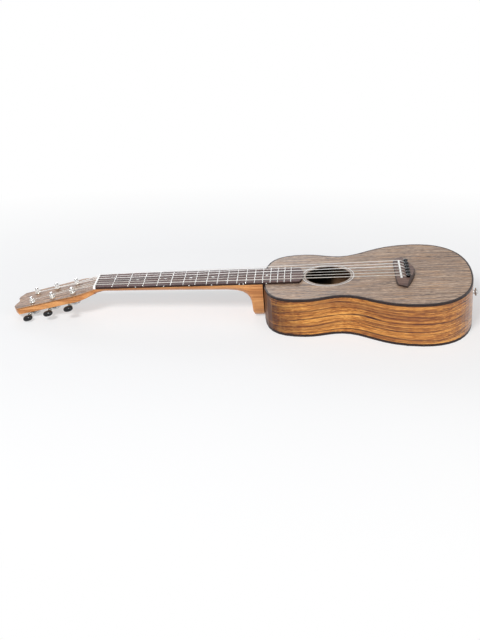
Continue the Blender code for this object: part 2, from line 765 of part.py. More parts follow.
def string_route(number):
    """The string's middle line from its ball under the bridge to its cut end, in the neck frame."""
    nut = string_at_nut(number)
    saddle = string_at_saddle(number)
    x = PIN_X - STRING_FROM_PIN
    diameter = STRING_DIAMETERS[number - 1]
    bend = BRIDGE_TOP + diameter / 2 + GAP
    ball_top = -TOP_THICKNESS - BRIDGE_PLATE_THICKNESS - 2 * GAP
    wound = winding_points(number)
    start = [Vector((x, saddle.y, z)) for z in (ball_top - BALL_LENGTH, ball_top, ball_top + BALL_NECK)]
    rise = [Vector((x, saddle.y, bend - diameter * 0.6)), Vector((x - diameter * 0.6, saddle.y, bend))]
    over = [saddle + Vector((SADDLE_HALF_THICKNESS, 0, 0)), saddle - Vector((SADDLE_HALF_THICKNESS, 0, 0))]
    return start + rise + over + [nut] + wound


def make_strings(frame):
    """Each string whole, from its ball end to its turns on the post."""
    for number in range(1, 7):
        diameter = STRING_DIAMETERS[number - 1]
        route = string_route(number)
        swells = [BALL_RADIUS * 2 / diameter] * 2 + [1.0] * (len(route) - 2)
        tube(f"string_{number}", route, swells, diameter, NYLON if number <= 3 else WOUND, frame)
        gap = least_gap(winding_points(number), diameter)
        print(f"string_{number}: least gap between its turns {gap * 1000:.2f} mm")


def least_gap(points, diameter):
    """The least clear space between parts of a tube that aren't next to each other."""
    fine = []
    for a, b in zip(points, points[1:]):
        fine += [a.lerp(b, k / 4) for k in range(4)]
    run = [0.0]
    for a, b in zip(fine, fine[1:]):
        run.append(run[-1] + (b - a).length)
    gaps = []
    for i, a in enumerate(fine):
        for j in range(i + 1, len(fine)):
            if run[j] - run[i] > 4 * diameter:
                gaps.append((fine[j] - a).length - diameter)
    return min(gaps)


# Nut, bridge and pins

def make_nut(frame):
    """The slotted bar that spaces the strings at the headstock's end."""
    front = FRET_TOP + NUT_ACTION + NUT_LIP
    back = front - NUT_BACK_DROP
    half = NUT_WIDTH_HALF
    section = ((-GAP, GAP), (-GAP, front), (-NUT_THICKNESS + GAP, back), (-NUT_THICKNESS + GAP, GAP))
    bm = bmesh.new()
    add_loft(bm, [[(x, y, z) for x, z in section] for y in (-half, half)])
    nut = add_object("nut", bm, BONE, frame)
    slots = bmesh.new()
    rear = -NUT_THICKNESS - GAP
    for number in range(1, 7):
        start = string_at_nut(number)
        run = winding_points(number)[0] - start
        wide = STRING_DIAMETERS[number - 1] / 2 + GAP
        y = start.y + rear * run.y / run.x
        plan = [(GAP, start.y - wide), (GAP, start.y + wide), (rear, y + wide), (rear, y - wide)]
        floor = start.z - wide
        add_prism(slots, plan, lambda x: floor + min(x, 0) * run.z / run.x, front + GAP)
    apply_boolean(nut, add_cutter("cut_nut_slots", slots, frame))


def bridge_ring(reach, side):
    """The bridge's section: reach runs from 0 in the middle over 1 at the shoulder to 2 at the end."""
    wing = max(reach - 1, 0)
    block_y = min(reach, 1) * BRIDGE_SHOULDER_Y
    front_y = side * (block_y + wing * (BRIDGE_FRONT_END_Y - BRIDGE_SHOULDER_Y))
    rear_y = side * (block_y + wing * (BRIDGE_REAR_END_Y - BRIDGE_SHOULDER_Y))
    front = -BRIDGE_FRONT + (BRIDGE_FRONT - BRIDGE_WING_FRONT) * wing ** 2
    share = abs(rear_y) / BRIDGE_REAR_END_Y
    rear = BRIDGE_BELLY - (BRIDGE_BELLY - BRIDGE_WING_REAR) * share ** 1.6
    top = BRIDGE_HEIGHT - (BRIDGE_HEIGHT - BRIDGE_WING_HEIGHT) * wing
    edge = BRIDGE_EDGE
    facet = edge + (BRIDGE_FACET - edge) * max(1 - abs(reach - 1.15) / 0.85, 0)
    section = ((front, front_y, 0), (front, front_y, top - edge), (front + edge, front_y, top),
               (rear - facet, rear_y, top), (rear, rear_y, top - min(facet, top * 0.7)), (rear, rear_y, 0))
    return [(SADDLE_X + x, y, GAP + z) for x, y, z in section]


def make_bridge(frame, pin_cutter):
    """The glued bridge: a raised block with low wings, a saddle slot and pin holes."""
    reaches = (2, 1.75, 1.5, 1.25, 1, 0.65, 0.3)
    rings = [bridge_ring(reach, -1) for reach in reaches]
    rings.append(bridge_ring(0, 1))
    rings += [bridge_ring(reach, 1) for reach in reversed(reaches)]
    bm = bmesh.new()
    add_loft(bm, rings)
    bridge = add_object("bridge", bm, WOOD_BRIDGE, frame, sharp=25)
    slot = bmesh.new()
    half = SADDLE_HALF_THICKNESS + GAP
    long_half = SADDLE_HALF_LENGTH + GAP
    add_box(slot, (SADDLE_X - half, SADDLE_X + half), (-long_half, long_half),
            (BRIDGE_TOP - SADDLE_SLOT_DEPTH - GAP, BRIDGE_TOP + 0.003))
    apply_boolean(bridge, add_cutter("cut_saddle_slot", slot, frame))
    apply_boolean(bridge, pin_cutter)


def make_saddle(frame):
    """The white bar that the strings cross on the bridge."""
    half = SADDLE_HALF_THICKNESS
    low = BRIDGE_TOP - SADDLE_SLOT_DEPTH
    section = ((-half, low), (half, low), (half, SADDLE_TOP - 0.0008), (half * 0.45, SADDLE_TOP),
               (-half * 0.45, SADDLE_TOP), (-half, SADDLE_TOP - 0.0008))
    bm = bmesh.new()
    ends = (-SADDLE_HALF_LENGTH, SADDLE_HALF_LENGTH)
    add_loft(bm, [[(SADDLE_X + x, y, z) for x, z in section] for y in ends])
    add_object("saddle", bm, BONE, frame)


def make_bridge_plate(frame, pin_cutter):
    """The hard plate under the top that the ball ends pull against."""
    top = -TOP_THICKNESS - GAP
    bm = bmesh.new()
    add_box(bm, (SADDLE_X - BRIDGE_PLATE_FRONT, SADDLE_X + BRIDGE_PLATE_REAR),
            (-BRIDGE_PLATE_HALF, BRIDGE_PLATE_HALF), (top - BRIDGE_PLATE_THICKNESS, top))
    apply_boolean(add_object("bridge_plate", bm, WOOD_PALE, frame), pin_cutter)


def make_pin_cutter(frame):
    """Six keyhole prisms: a round hole for the pin and a slot for the string."""
    bm = bmesh.new()
    radius = (PIN_RADIUS + GAP) / math.cos(math.pi / PIN_SIDES)
    for number in range(1, 7):
        y = string_at_saddle(number).y
        wide = STRING_DIAMETERS[number - 1] / 2 + GAP
        tip = PIN_X - STRING_FROM_PIN - wide
        mouth = PIN_X - math.sqrt(radius ** 2 - wide ** 2)
        arc_start = math.pi - math.asin(wide / radius)
        round_part = []
        for i in range(1, PIN_SIDES):
            angle = -arc_start + 2 * arc_start * i / PIN_SIDES
            round_part.append((PIN_X + radius * math.cos(angle), y + radius * math.sin(angle)))
        plan = [(tip, y - wide), (mouth, y - wide)] + round_part + [(mouth, y + wide), (tip, y + wide)]
        add_prism(bm, plan, -0.02, 0.02)
    return add_cutter("cut_pin_holes", bm, frame)


def make_pins(frame):
    """The six pins that wedge the strings; each lifts out along its own axis."""
    neck = BRIDGE_TOP + PIN_NECK_RISE
    profile = ((PIN_TIP_RADIUS * 0.6, -PIN_BOTTOM), (PIN_TIP_RADIUS, -PIN_BOTTOM + 0.001),
               (PIN_TIP_RADIUS, -TOP_THICKNESS - BRIDGE_PLATE_THICKNESS), (PIN_RADIUS, BRIDGE_TOP * 0.5),
               (PIN_RADIUS, neck), (PIN_HEAD_RADIUS, neck + 0.0004),
               (PIN_HEAD_RADIUS * 0.93, neck + PIN_HEAD_HEIGHT * 0.6),
               (PIN_HEAD_RADIUS * 0.5, neck + PIN_HEAD_HEIGHT))
    bm = bmesh.new()
    add_turned(bm, profile, PIN_SIDES)
    first = add_object("bridge_pin_1", bm, BUTTON_BLACK, frame, (PIN_X, string_at_saddle(1).y, 0))
    for number in range(2, 7):
        place(f"bridge_pin_{number}", first.data, frame, (PIN_X, string_at_saddle(number).y, 0))


# Tuners

def make_head_cutter(head):
    """Post holes and screw holes through the headstock, and the dip in its tip."""
    bm = bmesh.new()
    dip = [(-HEAD_TIP - 0.002, TIP_DIP_HALF), (-HEAD_TIP - 0.002, -TIP_DIP_HALF)]
    for i in range(-4, 5):
        rise = TIP_DIP_DEPTH * (1 + math.cos(math.pi * i / 4)) / 2
        dip.append((-HEAD_TIP - 0.0001 + rise, TIP_DIP_HALF * i / 4))
    add_prism(bm, dip, HEAD_BACK - 0.002, 0.002)
    for number in range(1, 7):
        distance, y = post_place(number)
        add_prism(bm, circle(POST_HOLE_RADIUS, POST_SIDES, (-distance, y)), HEAD_BACK - 0.002, 0.002)
        for x, screw_y in plate_screw_places(number):
            top = PLATE_TOP + SCREW_LENGTH + GAP
            add_prism(bm, circle(SCREW_RADIUS + GAP, 6, (x, screw_y)), HEAD_BACK - 0.002, top)
    return add_cutter("cut_headstock_holes", bm, head)


def plate_screw_places(number):
    """The two wood screws of a tuner's plate, in the head frame."""
    distance, y = post_place(number)
    return [(-distance + PLATE_SCREW_BACK, y + offset) for offset in (-PLATE_SCREW_SIDE, PLATE_SCREW_SIDE)]


def screw_profile(head_radius, head_height, radius, length):
    """A wood screw standing on its head: (radius, height) steps."""
    return ((head_radius * 0.7, 0), (head_radius, head_height * 0.5), (head_radius, head_height),
            (radius, head_height), (radius, length * 0.75), (radius * 0.25, length))


def make_tuner_frames(head):
    """Base plates, each with two ears for the worm, a sleeve for the post and its two screws."""
    sleeve = ((BUSHING_INNER, BUSHING_TOP), (BUSHING_INNER, PLATE_BOTTOM), (BUSHING_OUTER, PLATE_BOTTOM),
              (BUSHING_OUTER, GAP), (BUSHING_FLANGE_RADIUS, GAP), (BUSHING_FLANGE_RADIUS * 0.86, BUSHING_TOP))
    plate = bmesh.new()
    add_box(plate, (-PLATE_TOWARDS_TIP, PLATE_TOWARDS_NUT), (-PLATE_HALF_WIDTH, PLATE_HALF_WIDTH),
            (PLATE_BOTTOM, PLATE_TOP))
    first = add_object("tuner_frame_1", plate, CHROME, head)
    joined = bmesh.new()
    holes = bmesh.new()
    for sign in (-1, 1):
        span = sorted((sign * EAR_INNER, sign * (EAR_INNER + EAR_THICKNESS)))
        add_box(joined, (-WORM_FROM_POST - EAR_HALF, -WORM_FROM_POST + EAR_HALF), span,
                (WORM_Z - EAR_BELOW_AXIS, PLATE_BOTTOM + PLATE_THICKNESS / 2))
        profile = screw_profile(SCREW_HEAD_RADIUS, SCREW_HEAD_HEIGHT, SCREW_RADIUS,
                                SCREW_LENGTH + SCREW_HEAD_HEIGHT / 2 + PLATE_THICKNESS)
        head_bottom = PLATE_BOTTOM - SCREW_HEAD_HEIGHT / 2
        spot = Matrix.Translation((PLATE_SCREW_BACK, sign * PLATE_SCREW_SIDE, head_bottom))
        add_turned(joined, profile, 6, spot)
    bore = circle((BUSHING_INNER + BUSHING_OUTER) / 2, POST_SIDES)
    add_prism(holes, bore, PLATE_BOTTOM - 0.001, PLATE_TOP + 0.001)
    turned = Matrix.Translation((-WORM_FROM_POST, 0, WORM_Z)) @ Matrix.Rotation(math.pi / 2, 4, "X")
    reach = EAR_INNER + EAR_THICKNESS + 0.001
    shaft_hole = (WORM_SHAFT_RADIUS + RUN) / math.cos(math.pi / WORM_COLUMNS)
    add_turned(holes, ((shaft_hole, -reach), (shaft_hole, reach)), WORM_COLUMNS, turned)
    collar = bmesh.new()
    add_turned_ring(collar, sleeve, POST_SIDES)
    apply_boolean(first, add_cutter("join_plate_ears", joined, head), "UNION")
    apply_boolean(first, add_cutter("cut_plate_holes", holes, head))
    apply_boolean(first, add_cutter("join_post_sleeve", collar, head), "UNION")
    share_along_head("tuner_frame", first, head, settle(first))


def share_along_head(base, first, head, mesh):
    """Set the first piece on post 1, and a copy of it on every other post."""
    for number in range(1, 7):
        distance, y = post_place(number)
        thing = first if number == 1 else place(f"{base}_{number}", mesh, head)
        thing.location = (-distance, y, 0)


def make_strap_screw(frame):
    """The long screw through the strap button into the tail block."""
    bm = bmesh.new()
    profile = screw_profile(BUTTON_SCREW_HEAD, BUTTON_SCREW_HEAD_HEIGHT, BUTTON_SCREW_RADIUS,
                            BUTTON_SCREW_LENGTH)
    from_tail = BUTTON_HEIGHT + 2 * GAP + BUTTON_SCREW_HEAD_HEIGHT
    outwards = Matrix.Translation((from_tail, 0, 0)) @ Matrix.Rotation(-math.pi / 2, 4, "Y")
    add_turned(bm, profile, 8, button_matrix() @ outwards)
    add_object("strap_screw", bm, CHROME, frame)


def wheel_outline():
    """Teeth round the worm wheel, with a gap facing the worm."""
    points = []
    for tooth in range(WHEEL_TEETH):
        middle = math.pi + (tooth + 0.5) * 2 * math.pi / WHEEL_TEETH
        corners = ((WHEEL_ROOT_RADIUS, -WHEEL_TOOTH_ROOT), (WHEEL_TIP_RADIUS, -WHEEL_TOOTH_TIP),
                   (WHEEL_TIP_RADIUS, WHEEL_TOOTH_TIP), (WHEEL_ROOT_RADIUS, WHEEL_TOOTH_ROOT))
        for radius, width in corners:
            angle = middle + width / 2 / radius
            points.append((radius * math.cos(angle), radius * math.sin(angle)))
    return points


def make_posts(head):
    """Each string post with its worm wheel and the screw that holds the wheel."""
    bottom = WHEEL_TOP - WHEEL_THICKNESS
    end = bottom - GEAR_SCREW_HEIGHT
    profile = ((GEAR_SCREW_RADIUS, end), (GEAR_SCREW_RADIUS, bottom + GAP), (POST_RADIUS, bottom + 2 * GAP),
               (POST_RADIUS, POST_TOP - POST_CHAMFER), (POST_RADIUS - POST_CHAMFER, POST_TOP))
    bm = bmesh.new()
    add_turned(bm, profile, POST_SIDES)
    first = add_object("tuner_post_1", bm, CHROME, head)
    wheel = bmesh.new()
    add_prism(wheel, wheel_outline(), bottom, WHEEL_TOP)
    apply_boolean(first, add_cutter("join_worm_wheel", wheel, head), "UNION")
    hole = bmesh.new()
    across = Matrix.Translation((0, 0, STRING_HOLE_HEIGHT)) @ Matrix.Rotation(math.pi / 2, 4, "X")
    add_turned(hole, ((STRING_HOLE_RADIUS, -0.005), (STRING_HOLE_RADIUS, 0.005)), 8, across)
    apply_boolean(first, add_cutter("cut_string_hole", hole, head))
    share_along_head("tuner_post", first, head, settle(first))


def worm_point(radius, y, angle):
    """A point of the worm: the angle is about +Y and starts facing the wheel."""
    return Vector((radius * math.cos(angle), y, -radius * math.sin(angle)))


def add_worm(bm):
    """A shaft along Y with a right-hand thread: its crests lie at whole pitches where it faces the wheel."""
    angles = [-math.pi + 2 * math.pi * j / WORM_COLUMNS for j in range(WORM_COLUMNS)]
    corners = ((-WORM_THREAD_ROOT / 2, WORM_SHAFT_RADIUS), (-WORM_THREAD_TIP / 2, WORM_TIP_RADIUS),
               (WORM_THREAD_TIP / 2, WORM_TIP_RADIUS), (WORM_THREAD_ROOT / 2, WORM_SHAFT_RADIUS))
    rows = []
    first_crest = -(WORM_CRESTS - 1) / 2
    for crest in range(WORM_CRESTS):
        for offset, radius in corners:
            row = []
            for angle in angles:
                y = WORM_PITCH * (first_crest + crest + angle / (2 * math.pi)) + offset
                row.append(bm.verts.new(worm_point(radius, y, angle)))
            rows.append(row)
    step = len(corners)
    outer = EAR_INNER + EAR_THICKNESS + RUN
    shaft_end = KNOB_INNER_Y - POST_Y - GAP
    inner_rings = [(WORM_SHAFT_RADIUS, EAR_INNER + EAR_THICKNESS + 0.0005)]
    knob_rings = [(WORM_SHAFT_RADIUS, -outer), (WORM_COLLAR_RADIUS, -outer),
                  (WORM_COLLAR_RADIUS, -outer - WORM_COLLAR_LENGTH),
                  (WORM_SHAFT_RADIUS, -outer - WORM_COLLAR_LENGTH), (WORM_SHAFT_RADIUS, -shaft_end)]
    for index, row in enumerate(rows[:-1]):
        for j in range(WORM_COLUMNS - 1):
            bm.faces.new((row[j], row[j + 1], rows[index + 1][j + 1], rows[index + 1][j]))
    for index in range(len(rows) - step - 1):
        seam = (rows[index][-1], rows[index + step][0], rows[index + step + 1][0], rows[index + 1][-1])
        bm.faces.new(seam)
    add_worm_end(bm, angles, knob_rings, rows[0], rows[:step + 1], True)
    add_worm_end(bm, angles, inner_rings, rows[-1], rows[-step - 1:], False)


def add_worm_end(bm, angles, rings, edge, seam_rows, at_start):
    """Close one end of the thread onto plain shaft rings and a flat cap."""
    last = edge
    corner = seam_rows[-1][0] if at_start else seam_rows[0][-1]
    for radius, y in rings:
        ring = [bm.verts.new(worm_point(radius, y, angle)) for angle in angles]
        for j in range(WORM_COLUMNS - 1):
            bm.faces.new((last[j], last[j + 1], ring[j + 1], ring[j]))
        if last is edge and at_start:
            bm.faces.new((last[-1], corner, ring[0], ring[-1]))
            bm.faces.new([row[0] for row in seam_rows] + [ring[0]])
        elif last is edge:
            bm.faces.new((corner, last[0], ring[0], ring[-1]))
            bm.faces.new([row[-1] for row in seam_rows] + [ring[-1]])
        else:
            bm.faces.new((last[-1], last[0], ring[0], ring[-1]))
        last = ring
    bm.faces.new(last)


def make_worms_and_knobs(head):
    """The worm shafts and their buttons; the treble side's are the same pieces turned over."""
    worm = bmesh.new()
    add_worm(worm)
    knob = bmesh.new()
    stations = ((0, 0.45, 0.7), (0.08, 0.8, 0.95), (0.35, 1, 1), (0.7, 0.98, 1), (0.93, 0.8, 0.85),
                (1, 0.5, 0.5))
    rings = []
    for share, wide, thick in stations:
        y = -(KNOB_INNER_Y - POST_Y) - share * KNOB_LENGTH
        ring = circle(1, 12)
        rings.append([(c * wide * KNOB_HALF_WIDTH, y, s * thick * KNOB_HALF_THICKNESS) for c, s in ring])
    add_loft(knob, rings)
    worm_mesh = add_object("tuner_worm_1", worm, CHROME, head)
    knob_mesh = add_object("tuner_knob_1", knob, BUTTON_BLACK, head, sharp=50)
    for number in range(1, 7):
        distance, y = post_place(number)
        turned = (math.pi if y > 0 else 0.0, 0, 0)
        for base, first in (("tuner_worm", worm_mesh), ("tuner_knob", knob_mesh)):
            thing = first if number == 1 else place(f"{base}_{number}", first.data, head)
            thing.location = (-distance - WORM_FROM_POST, y, WORM_Z)
            thing.rotation_euler = turned


# Strap button

def button_matrix():
    """Frame at the tail's outer face, halfway up, with +X outwards."""
    return Matrix.Translation((TAIL_X, 0, -DEPTH_TAIL / 2))


def make_button_cutter(frame):
    """The strap screw's hole through the sides, the tail block and the button."""
    bm = bmesh.new()
    radius = BUTTON_SCREW_RADIUS + GAP
    outwards = button_matrix() @ Matrix.Rotation(math.pi / 2, 4, "Y")
    reach = BUTTON_SCREW_LENGTH - BUTTON_HEIGHT
    add_turned(bm, ((radius, -reach), (radius, BUTTON_HEIGHT + 0.004)), 8, outwards)
    return add_cutter("cut_strap_screw_hole", bm, frame)


def make_strap_button(frame, screw_cutter):
    """The turned button at the tail."""
    profile = ((BUTTON_BASE_RADIUS, GAP), (BUTTON_BASE_RADIUS * 0.9, 0.0012), (BUTTON_WAIST_RADIUS, 0.0026),
               (BUTTON_WAIST_RADIUS, BUTTON_HEIGHT * 0.6), (BUTTON_FLANGE_RADIUS, BUTTON_HEIGHT * 0.78),
               (BUTTON_FLANGE_RADIUS, BUTTON_HEIGHT * 0.92), (BUTTON_FLANGE_RADIUS * 0.8, BUTTON_HEIGHT))
    bm = bmesh.new()
    add_turned(bm, profile, 14, button_matrix() @ Matrix.Rotation(math.pi / 2, 4, "Y"))
    apply_boolean(add_object("strap_button", bm, CHROME, frame), screw_cutter)


def make_all():
    """Build every piece."""
    start_clean()
    frame = place("neck_frame", None, None, NECK_ORIGIN, (0, -TAPER, 0))
    head = place("headstock_frame", None, frame, (-NUT_THICKNESS, 0, -HEAD_STEP), (0, -HEAD_TILT, 0))
    pin_cutter = make_pin_cutter(frame)
    head_cutter = make_head_cutter(head)
    screw_cutter = make_button_cutter(frame)
    make_soundboard(frame, pin_cutter)
    make_rosette(frame)
    make_back_plate(frame)
    make_bindings(frame)
    make_side("side_bass", -1, frame, screw_cutter)
    make_side("side_treble", 1, frame, screw_cutter)
    make_linings(frame)
    make_blocks(frame, screw_cutter)
    make_braces(frame)
    make_neck(frame, head_cutter)
    make_veneer(head, head_cutter)
    make_fretboard(frame)
    make_nut(frame)
    make_bridge(frame, pin_cutter)
    make_saddle(frame)
    make_bridge_plate(frame, pin_cutter)
    make_pins(frame)
    make_strings(frame)
    make_tuner_frames(head)
    make_posts(head)
    make_worms_and_knobs(head)
    make_strap_button(frame, screw_cutter)
    make_strap_screw(frame)
    bpy.context.view_layer.update()


make_all()
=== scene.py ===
"""The guitalele's looks: woods, frets, dots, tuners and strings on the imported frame, in a pale studio."""
import math

import bmesh
import bpy
from mathutils import Matrix, Vector


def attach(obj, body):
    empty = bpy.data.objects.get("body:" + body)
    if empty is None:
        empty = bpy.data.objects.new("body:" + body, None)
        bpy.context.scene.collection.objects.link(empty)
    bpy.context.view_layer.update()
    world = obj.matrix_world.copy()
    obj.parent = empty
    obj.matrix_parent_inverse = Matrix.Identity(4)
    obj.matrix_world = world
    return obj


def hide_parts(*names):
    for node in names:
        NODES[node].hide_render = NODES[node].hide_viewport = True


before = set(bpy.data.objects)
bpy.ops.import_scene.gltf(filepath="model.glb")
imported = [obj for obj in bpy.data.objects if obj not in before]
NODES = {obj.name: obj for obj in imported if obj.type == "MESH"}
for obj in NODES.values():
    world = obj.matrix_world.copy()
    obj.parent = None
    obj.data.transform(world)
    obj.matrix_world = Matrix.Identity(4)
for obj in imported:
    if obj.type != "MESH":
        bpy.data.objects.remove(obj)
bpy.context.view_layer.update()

WHOLE = "instrument"

# Sizes shared with the solids, in metres; X runs from the nut to the tail, Z out of the top
GAP = 0.0003
BODY_LENGTH = 0.2943
DEPTH_FRONT = 0.0545
DEPTH_TAIL = 0.0656
TAPER = math.atan((DEPTH_TAIL - DEPTH_FRONT) / BODY_LENGTH)
NECK_TO_BODY = 0.2403
MIDDLE_X = NECK_TO_BODY + BODY_LENGTH / 2
TAIL_X = NECK_TO_BODY + BODY_LENGTH
SCALE_LENGTH = 0.433
FRET_COUNT = 18
NUT_HALF = 0.023
LAST_FRET_HALF = 0.0255
FRETBOARD_THICKNESS = 0.003
FRETBOARD_TOP = GAP + FRETBOARD_THICKNESS
FRETBOARD_CORNER_X = 0.292
FRETBOARD_END_X = 0.2975
HOLE_X = 0.3325
SADDLE_X = 0.4343
SADDLE_STRING_SPAN = 0.0530
PIN_FROM_SADDLE = 0.0095
PIN_X = SADDLE_X + PIN_FROM_SADDLE
BRIDGE_HEIGHT = 0.0055
BRIDGE_TOP = GAP + BRIDGE_HEIGHT
HEAD_TILT = math.radians(12.0)
HEAD_FROM_NUT = (-0.0038, 0, -0.0004)
VENEER_THICKNESS = 0.0012
HEAD_THICKNESS = 0.009
HEAD_BACK = -VENEER_THICKNESS - GAP - HEAD_THICKNESS
FIRST_POST = 0.0329
POST_SPACING = 0.0314
POST_Y = 0.0163
POST_RADIUS = 0.0024
POST_TOP = 0.0088
STRING_HOLE_HEIGHT = 0.0070
PLATE_THICKNESS = 0.001
PLATE_TOP = HEAD_BACK - GAP
PLATE_BOTTOM = PLATE_TOP - PLATE_THICKNESS
WORM_DEPTH = 0.0047
WORM_Z = HEAD_BACK - WORM_DEPTH
WORM_FROM_POST = 0.0085
WHEEL_THICKNESS = 0.0028
WHEEL_TOP = WORM_Z + WHEEL_THICKNESS / 2
WHEEL_BOTTOM = WHEEL_TOP - WHEEL_THICKNESS
WHEEL_TEETH = 14
KNOB_START_Y = 0.0297
KNOB_LENGTH = 0.0098

NECK_ORIGIN = Vector((-MIDDLE_X * math.cos(TAPER) - (DEPTH_FRONT + DEPTH_TAIL) / 2 * math.sin(TAPER), 0,
                      DEPTH_FRONT * math.cos(TAPER) - NECK_TO_BODY * math.sin(TAPER)))
NECK_MATRIX = Matrix.Translation(NECK_ORIGIN) @ Matrix.Rotation(-TAPER, 4, "Y")
HEAD_MATRIX = NECK_MATRIX @ Matrix.Translation(HEAD_FROM_NUT) @ Matrix.Rotation(-HEAD_TILT, 4, "Y")


# Shaders

# The Mix node's sockets for colours: the second one's share, both colours and the result
MIX_SHARE, MIX_FIRST, MIX_SECOND, MIX_RESULT = 0, 6, 7, 2


class Value:
    """A shader socket on which Python's operators add Math nodes."""

    def __init__(self, nodes, socket):
        self.nodes = nodes
        self.socket = socket

    def math(self, operation, *others):
        return self.nodes.calculate(operation, self, *others)

    def __add__(self, other):
        return self.math("ADD", other)

    def __sub__(self, other):
        return self.math("SUBTRACT", other)

    def __rsub__(self, other):
        return self.nodes.calculate("SUBTRACT", other, self)

    def __mul__(self, other):
        return self.math("MULTIPLY", other)

    def __truediv__(self, other):
        return self.math("DIVIDE", other)

    def __rtruediv__(self, other):
        return self.nodes.calculate("DIVIDE", other, self)

    __radd__ = __add__
    __rmul__ = __mul__

    def ramp(self, low, high, out_low=0.0, out_high=1.0):
        """Carry low..high onto out_low..out_high, and stop at both ends."""
        ends = {"Value": self, "From Min": low, "From Max": high, "To Min": out_low, "To Max": out_high}
        return self.nodes.node("MapRange", {"clamp": True}, ends)

    def within(self, low, high, soft=0.0001):
        """1 between low and high, 0 outside, with soft edges."""
        return self.ramp(low - soft, low) * self.ramp(high, high + soft, 1.0, 0.0)

    def tint(self, *stops):
        """Colours along the value: (place, (red, green, blue)) stops."""
        return self.nodes.node("ValToRGB", {"stops": stops}, {0: self})


class Nodes:
    """The nodes of a material or of the world."""

    def __init__(self, tree):
        self.tree = tree

    def node(self, kind, settings=None, inputs=None, output=0):
        """Add a node: its settings first, then its sockets' values or links."""
        made = self.tree.nodes.new("ShaderNode" + kind)
        for name, value in (settings or {}).items():
            if name == "stops":
                self.set_stops(made.color_ramp.elements, value)
            else:
                setattr(made, name, value)
        for key, value in (inputs or {}).items():
            self.fill(made.inputs[key], value)
        return Value(self, made.outputs[output])

    def set_stops(self, elements, stops):
        while len(elements) < len(stops):
            elements.new(1.0)
        for element, (place, colour) in zip(elements, stops):
            element.position = place
            element.color = (*colour, 1)

    def fill(self, socket, value):
        """Link a value to a socket, or set the socket to a number or a colour."""
        if isinstance(value, Value):
            self.tree.links.new(value.socket, socket)
        elif socket.type == "RGBA":
            socket.default_value = (*value, 1)
        else:
            socket.default_value = value

    def calculate(self, operation, *values):
        """A Math node on values and numbers."""
        return self.node("Math", {"operation": operation}, dict(enumerate(values)))

    def mix(self, share, first, second):
        """The first colour, with a share of the second over it."""
        return self.node("Mix", {"data_type": "RGBA"},
                         {MIX_SHARE: share, MIX_FIRST: first, MIX_SECOND: second}, MIX_RESULT)


class Look(Nodes):
    """A material in the making, round its Principled shader."""

    def __init__(self, name, **constants):
        self.material = bpy.data.materials.new(name)
        self.material.use_nodes = True
        super().__init__(self.material.node_tree)
        self.shader = self.tree.nodes["Principled BSDF"]
        self.give(**constants)
        self.place = self.node("TexCoord", output="Object")

    def give(self, **values):
        """Link or set the Principled shader's sockets."""
        for socket, value in values.items():
            self.fill(self.shader.inputs[socket.replace("_", " ")], value)

    def axes(self, matrix=None):
        """Object coordinates, in another frame if one is given."""
        vector = self.place
        if matrix:
            inverse = matrix.inverted()
            vector = self.node("Mapping", {"vector_type": "POINT"},
                               {"Vector": vector, "Location": inverse.translation,
                                "Rotation": inverse.to_euler()})
        split = self.node("SeparateXYZ", inputs={0: vector})
        return [Value(self, socket) for socket in split.socket.node.outputs]

    def facing(self, axis):
        """The part of the surface's direction that lies along X, Y or Z."""
        split = self.node("SeparateXYZ", inputs={0: self.node("NewGeometry", output="Normal")})
        return Value(self, split.socket.node.outputs[axis])

    def grain(self, along, across, deep, length, width, shift=0.0, detail=3.0, roughness=0.5):
        """Noise drawn out along the wood: features of this length and width, in metres."""
        stretched = {0: along / length + shift, 1: across / width, 2: deep / width}
        vector = self.node("CombineXYZ", inputs=stretched)
        return self.cloud(vector, scale=1.0, detail=detail, roughness=roughness)

    def cloud(self, vector, scale, detail=3.0, roughness=0.5):
        """Noise of even size in every direction."""
        return self.node("TexNoise", inputs={"Vector": vector, "Scale": scale, "Detail": detail,
                                             "Roughness": roughness})

    def bump(self, height, strength, distance):
        normal = self.node("Bump", inputs={"Height": height, "Strength": strength, "Distance": distance})
        self.give(Normal=normal)


def add_pores(look, wood, along, across, deep, length, width, share, colour):
    """Short dark open pores; gives the wood's new colour and the pores."""
    noise = look.grain(along, across, deep, length=length, width=width, detail=2.0, roughness=0.6)
    pores = noise.ramp(0.60, 0.72)
    return look.mix(pores * share, wood, colour), pores


# Inside the body: painted shade on the bare wood, and painted light where it falls in, behind these places
# along X
INNER_PAINTED_SHADE = (0.030, 0.019, 0.012)
INNER_PAINTED_LIGHT = (0.26, 0.150, 0.082)
INNER_PAINTED_LIGHT_X = (-0.052, -0.044)

WALNUT_SHADES = ((0.42, (0.085, 0.050, 0.035)), (0.473, (0.235, 0.155, 0.108)),
                 (0.527, (0.395, 0.275, 0.197)), (0.58, (0.60, 0.435, 0.310)))
# Warm, ashen and dark streaks: their noise's shift, length and width, the ramp on it, share and colour
WALNUT_STREAKS = ((13.0, 0.050, 0.0024, (0.53, 0.62), 0.55, (0.52, 0.280, 0.125)),
                  (29.0, 0.045, 0.0028, (0.54, 0.64), 0.45, (0.200, 0.170, 0.165)),
                  (41.0, 0.080, 0.0020, (0.57, 0.65), 0.65, (0.075, 0.047, 0.034)))
WALNUT_PORE = (0.05, 0.03, 0.02)
WALNUT_EDGE = (0.46, 0.23, 0.10)
# The painted shade under the top fades in between these heights
TOP_UNDERSIDE_Z = (-0.0012, -0.0008)


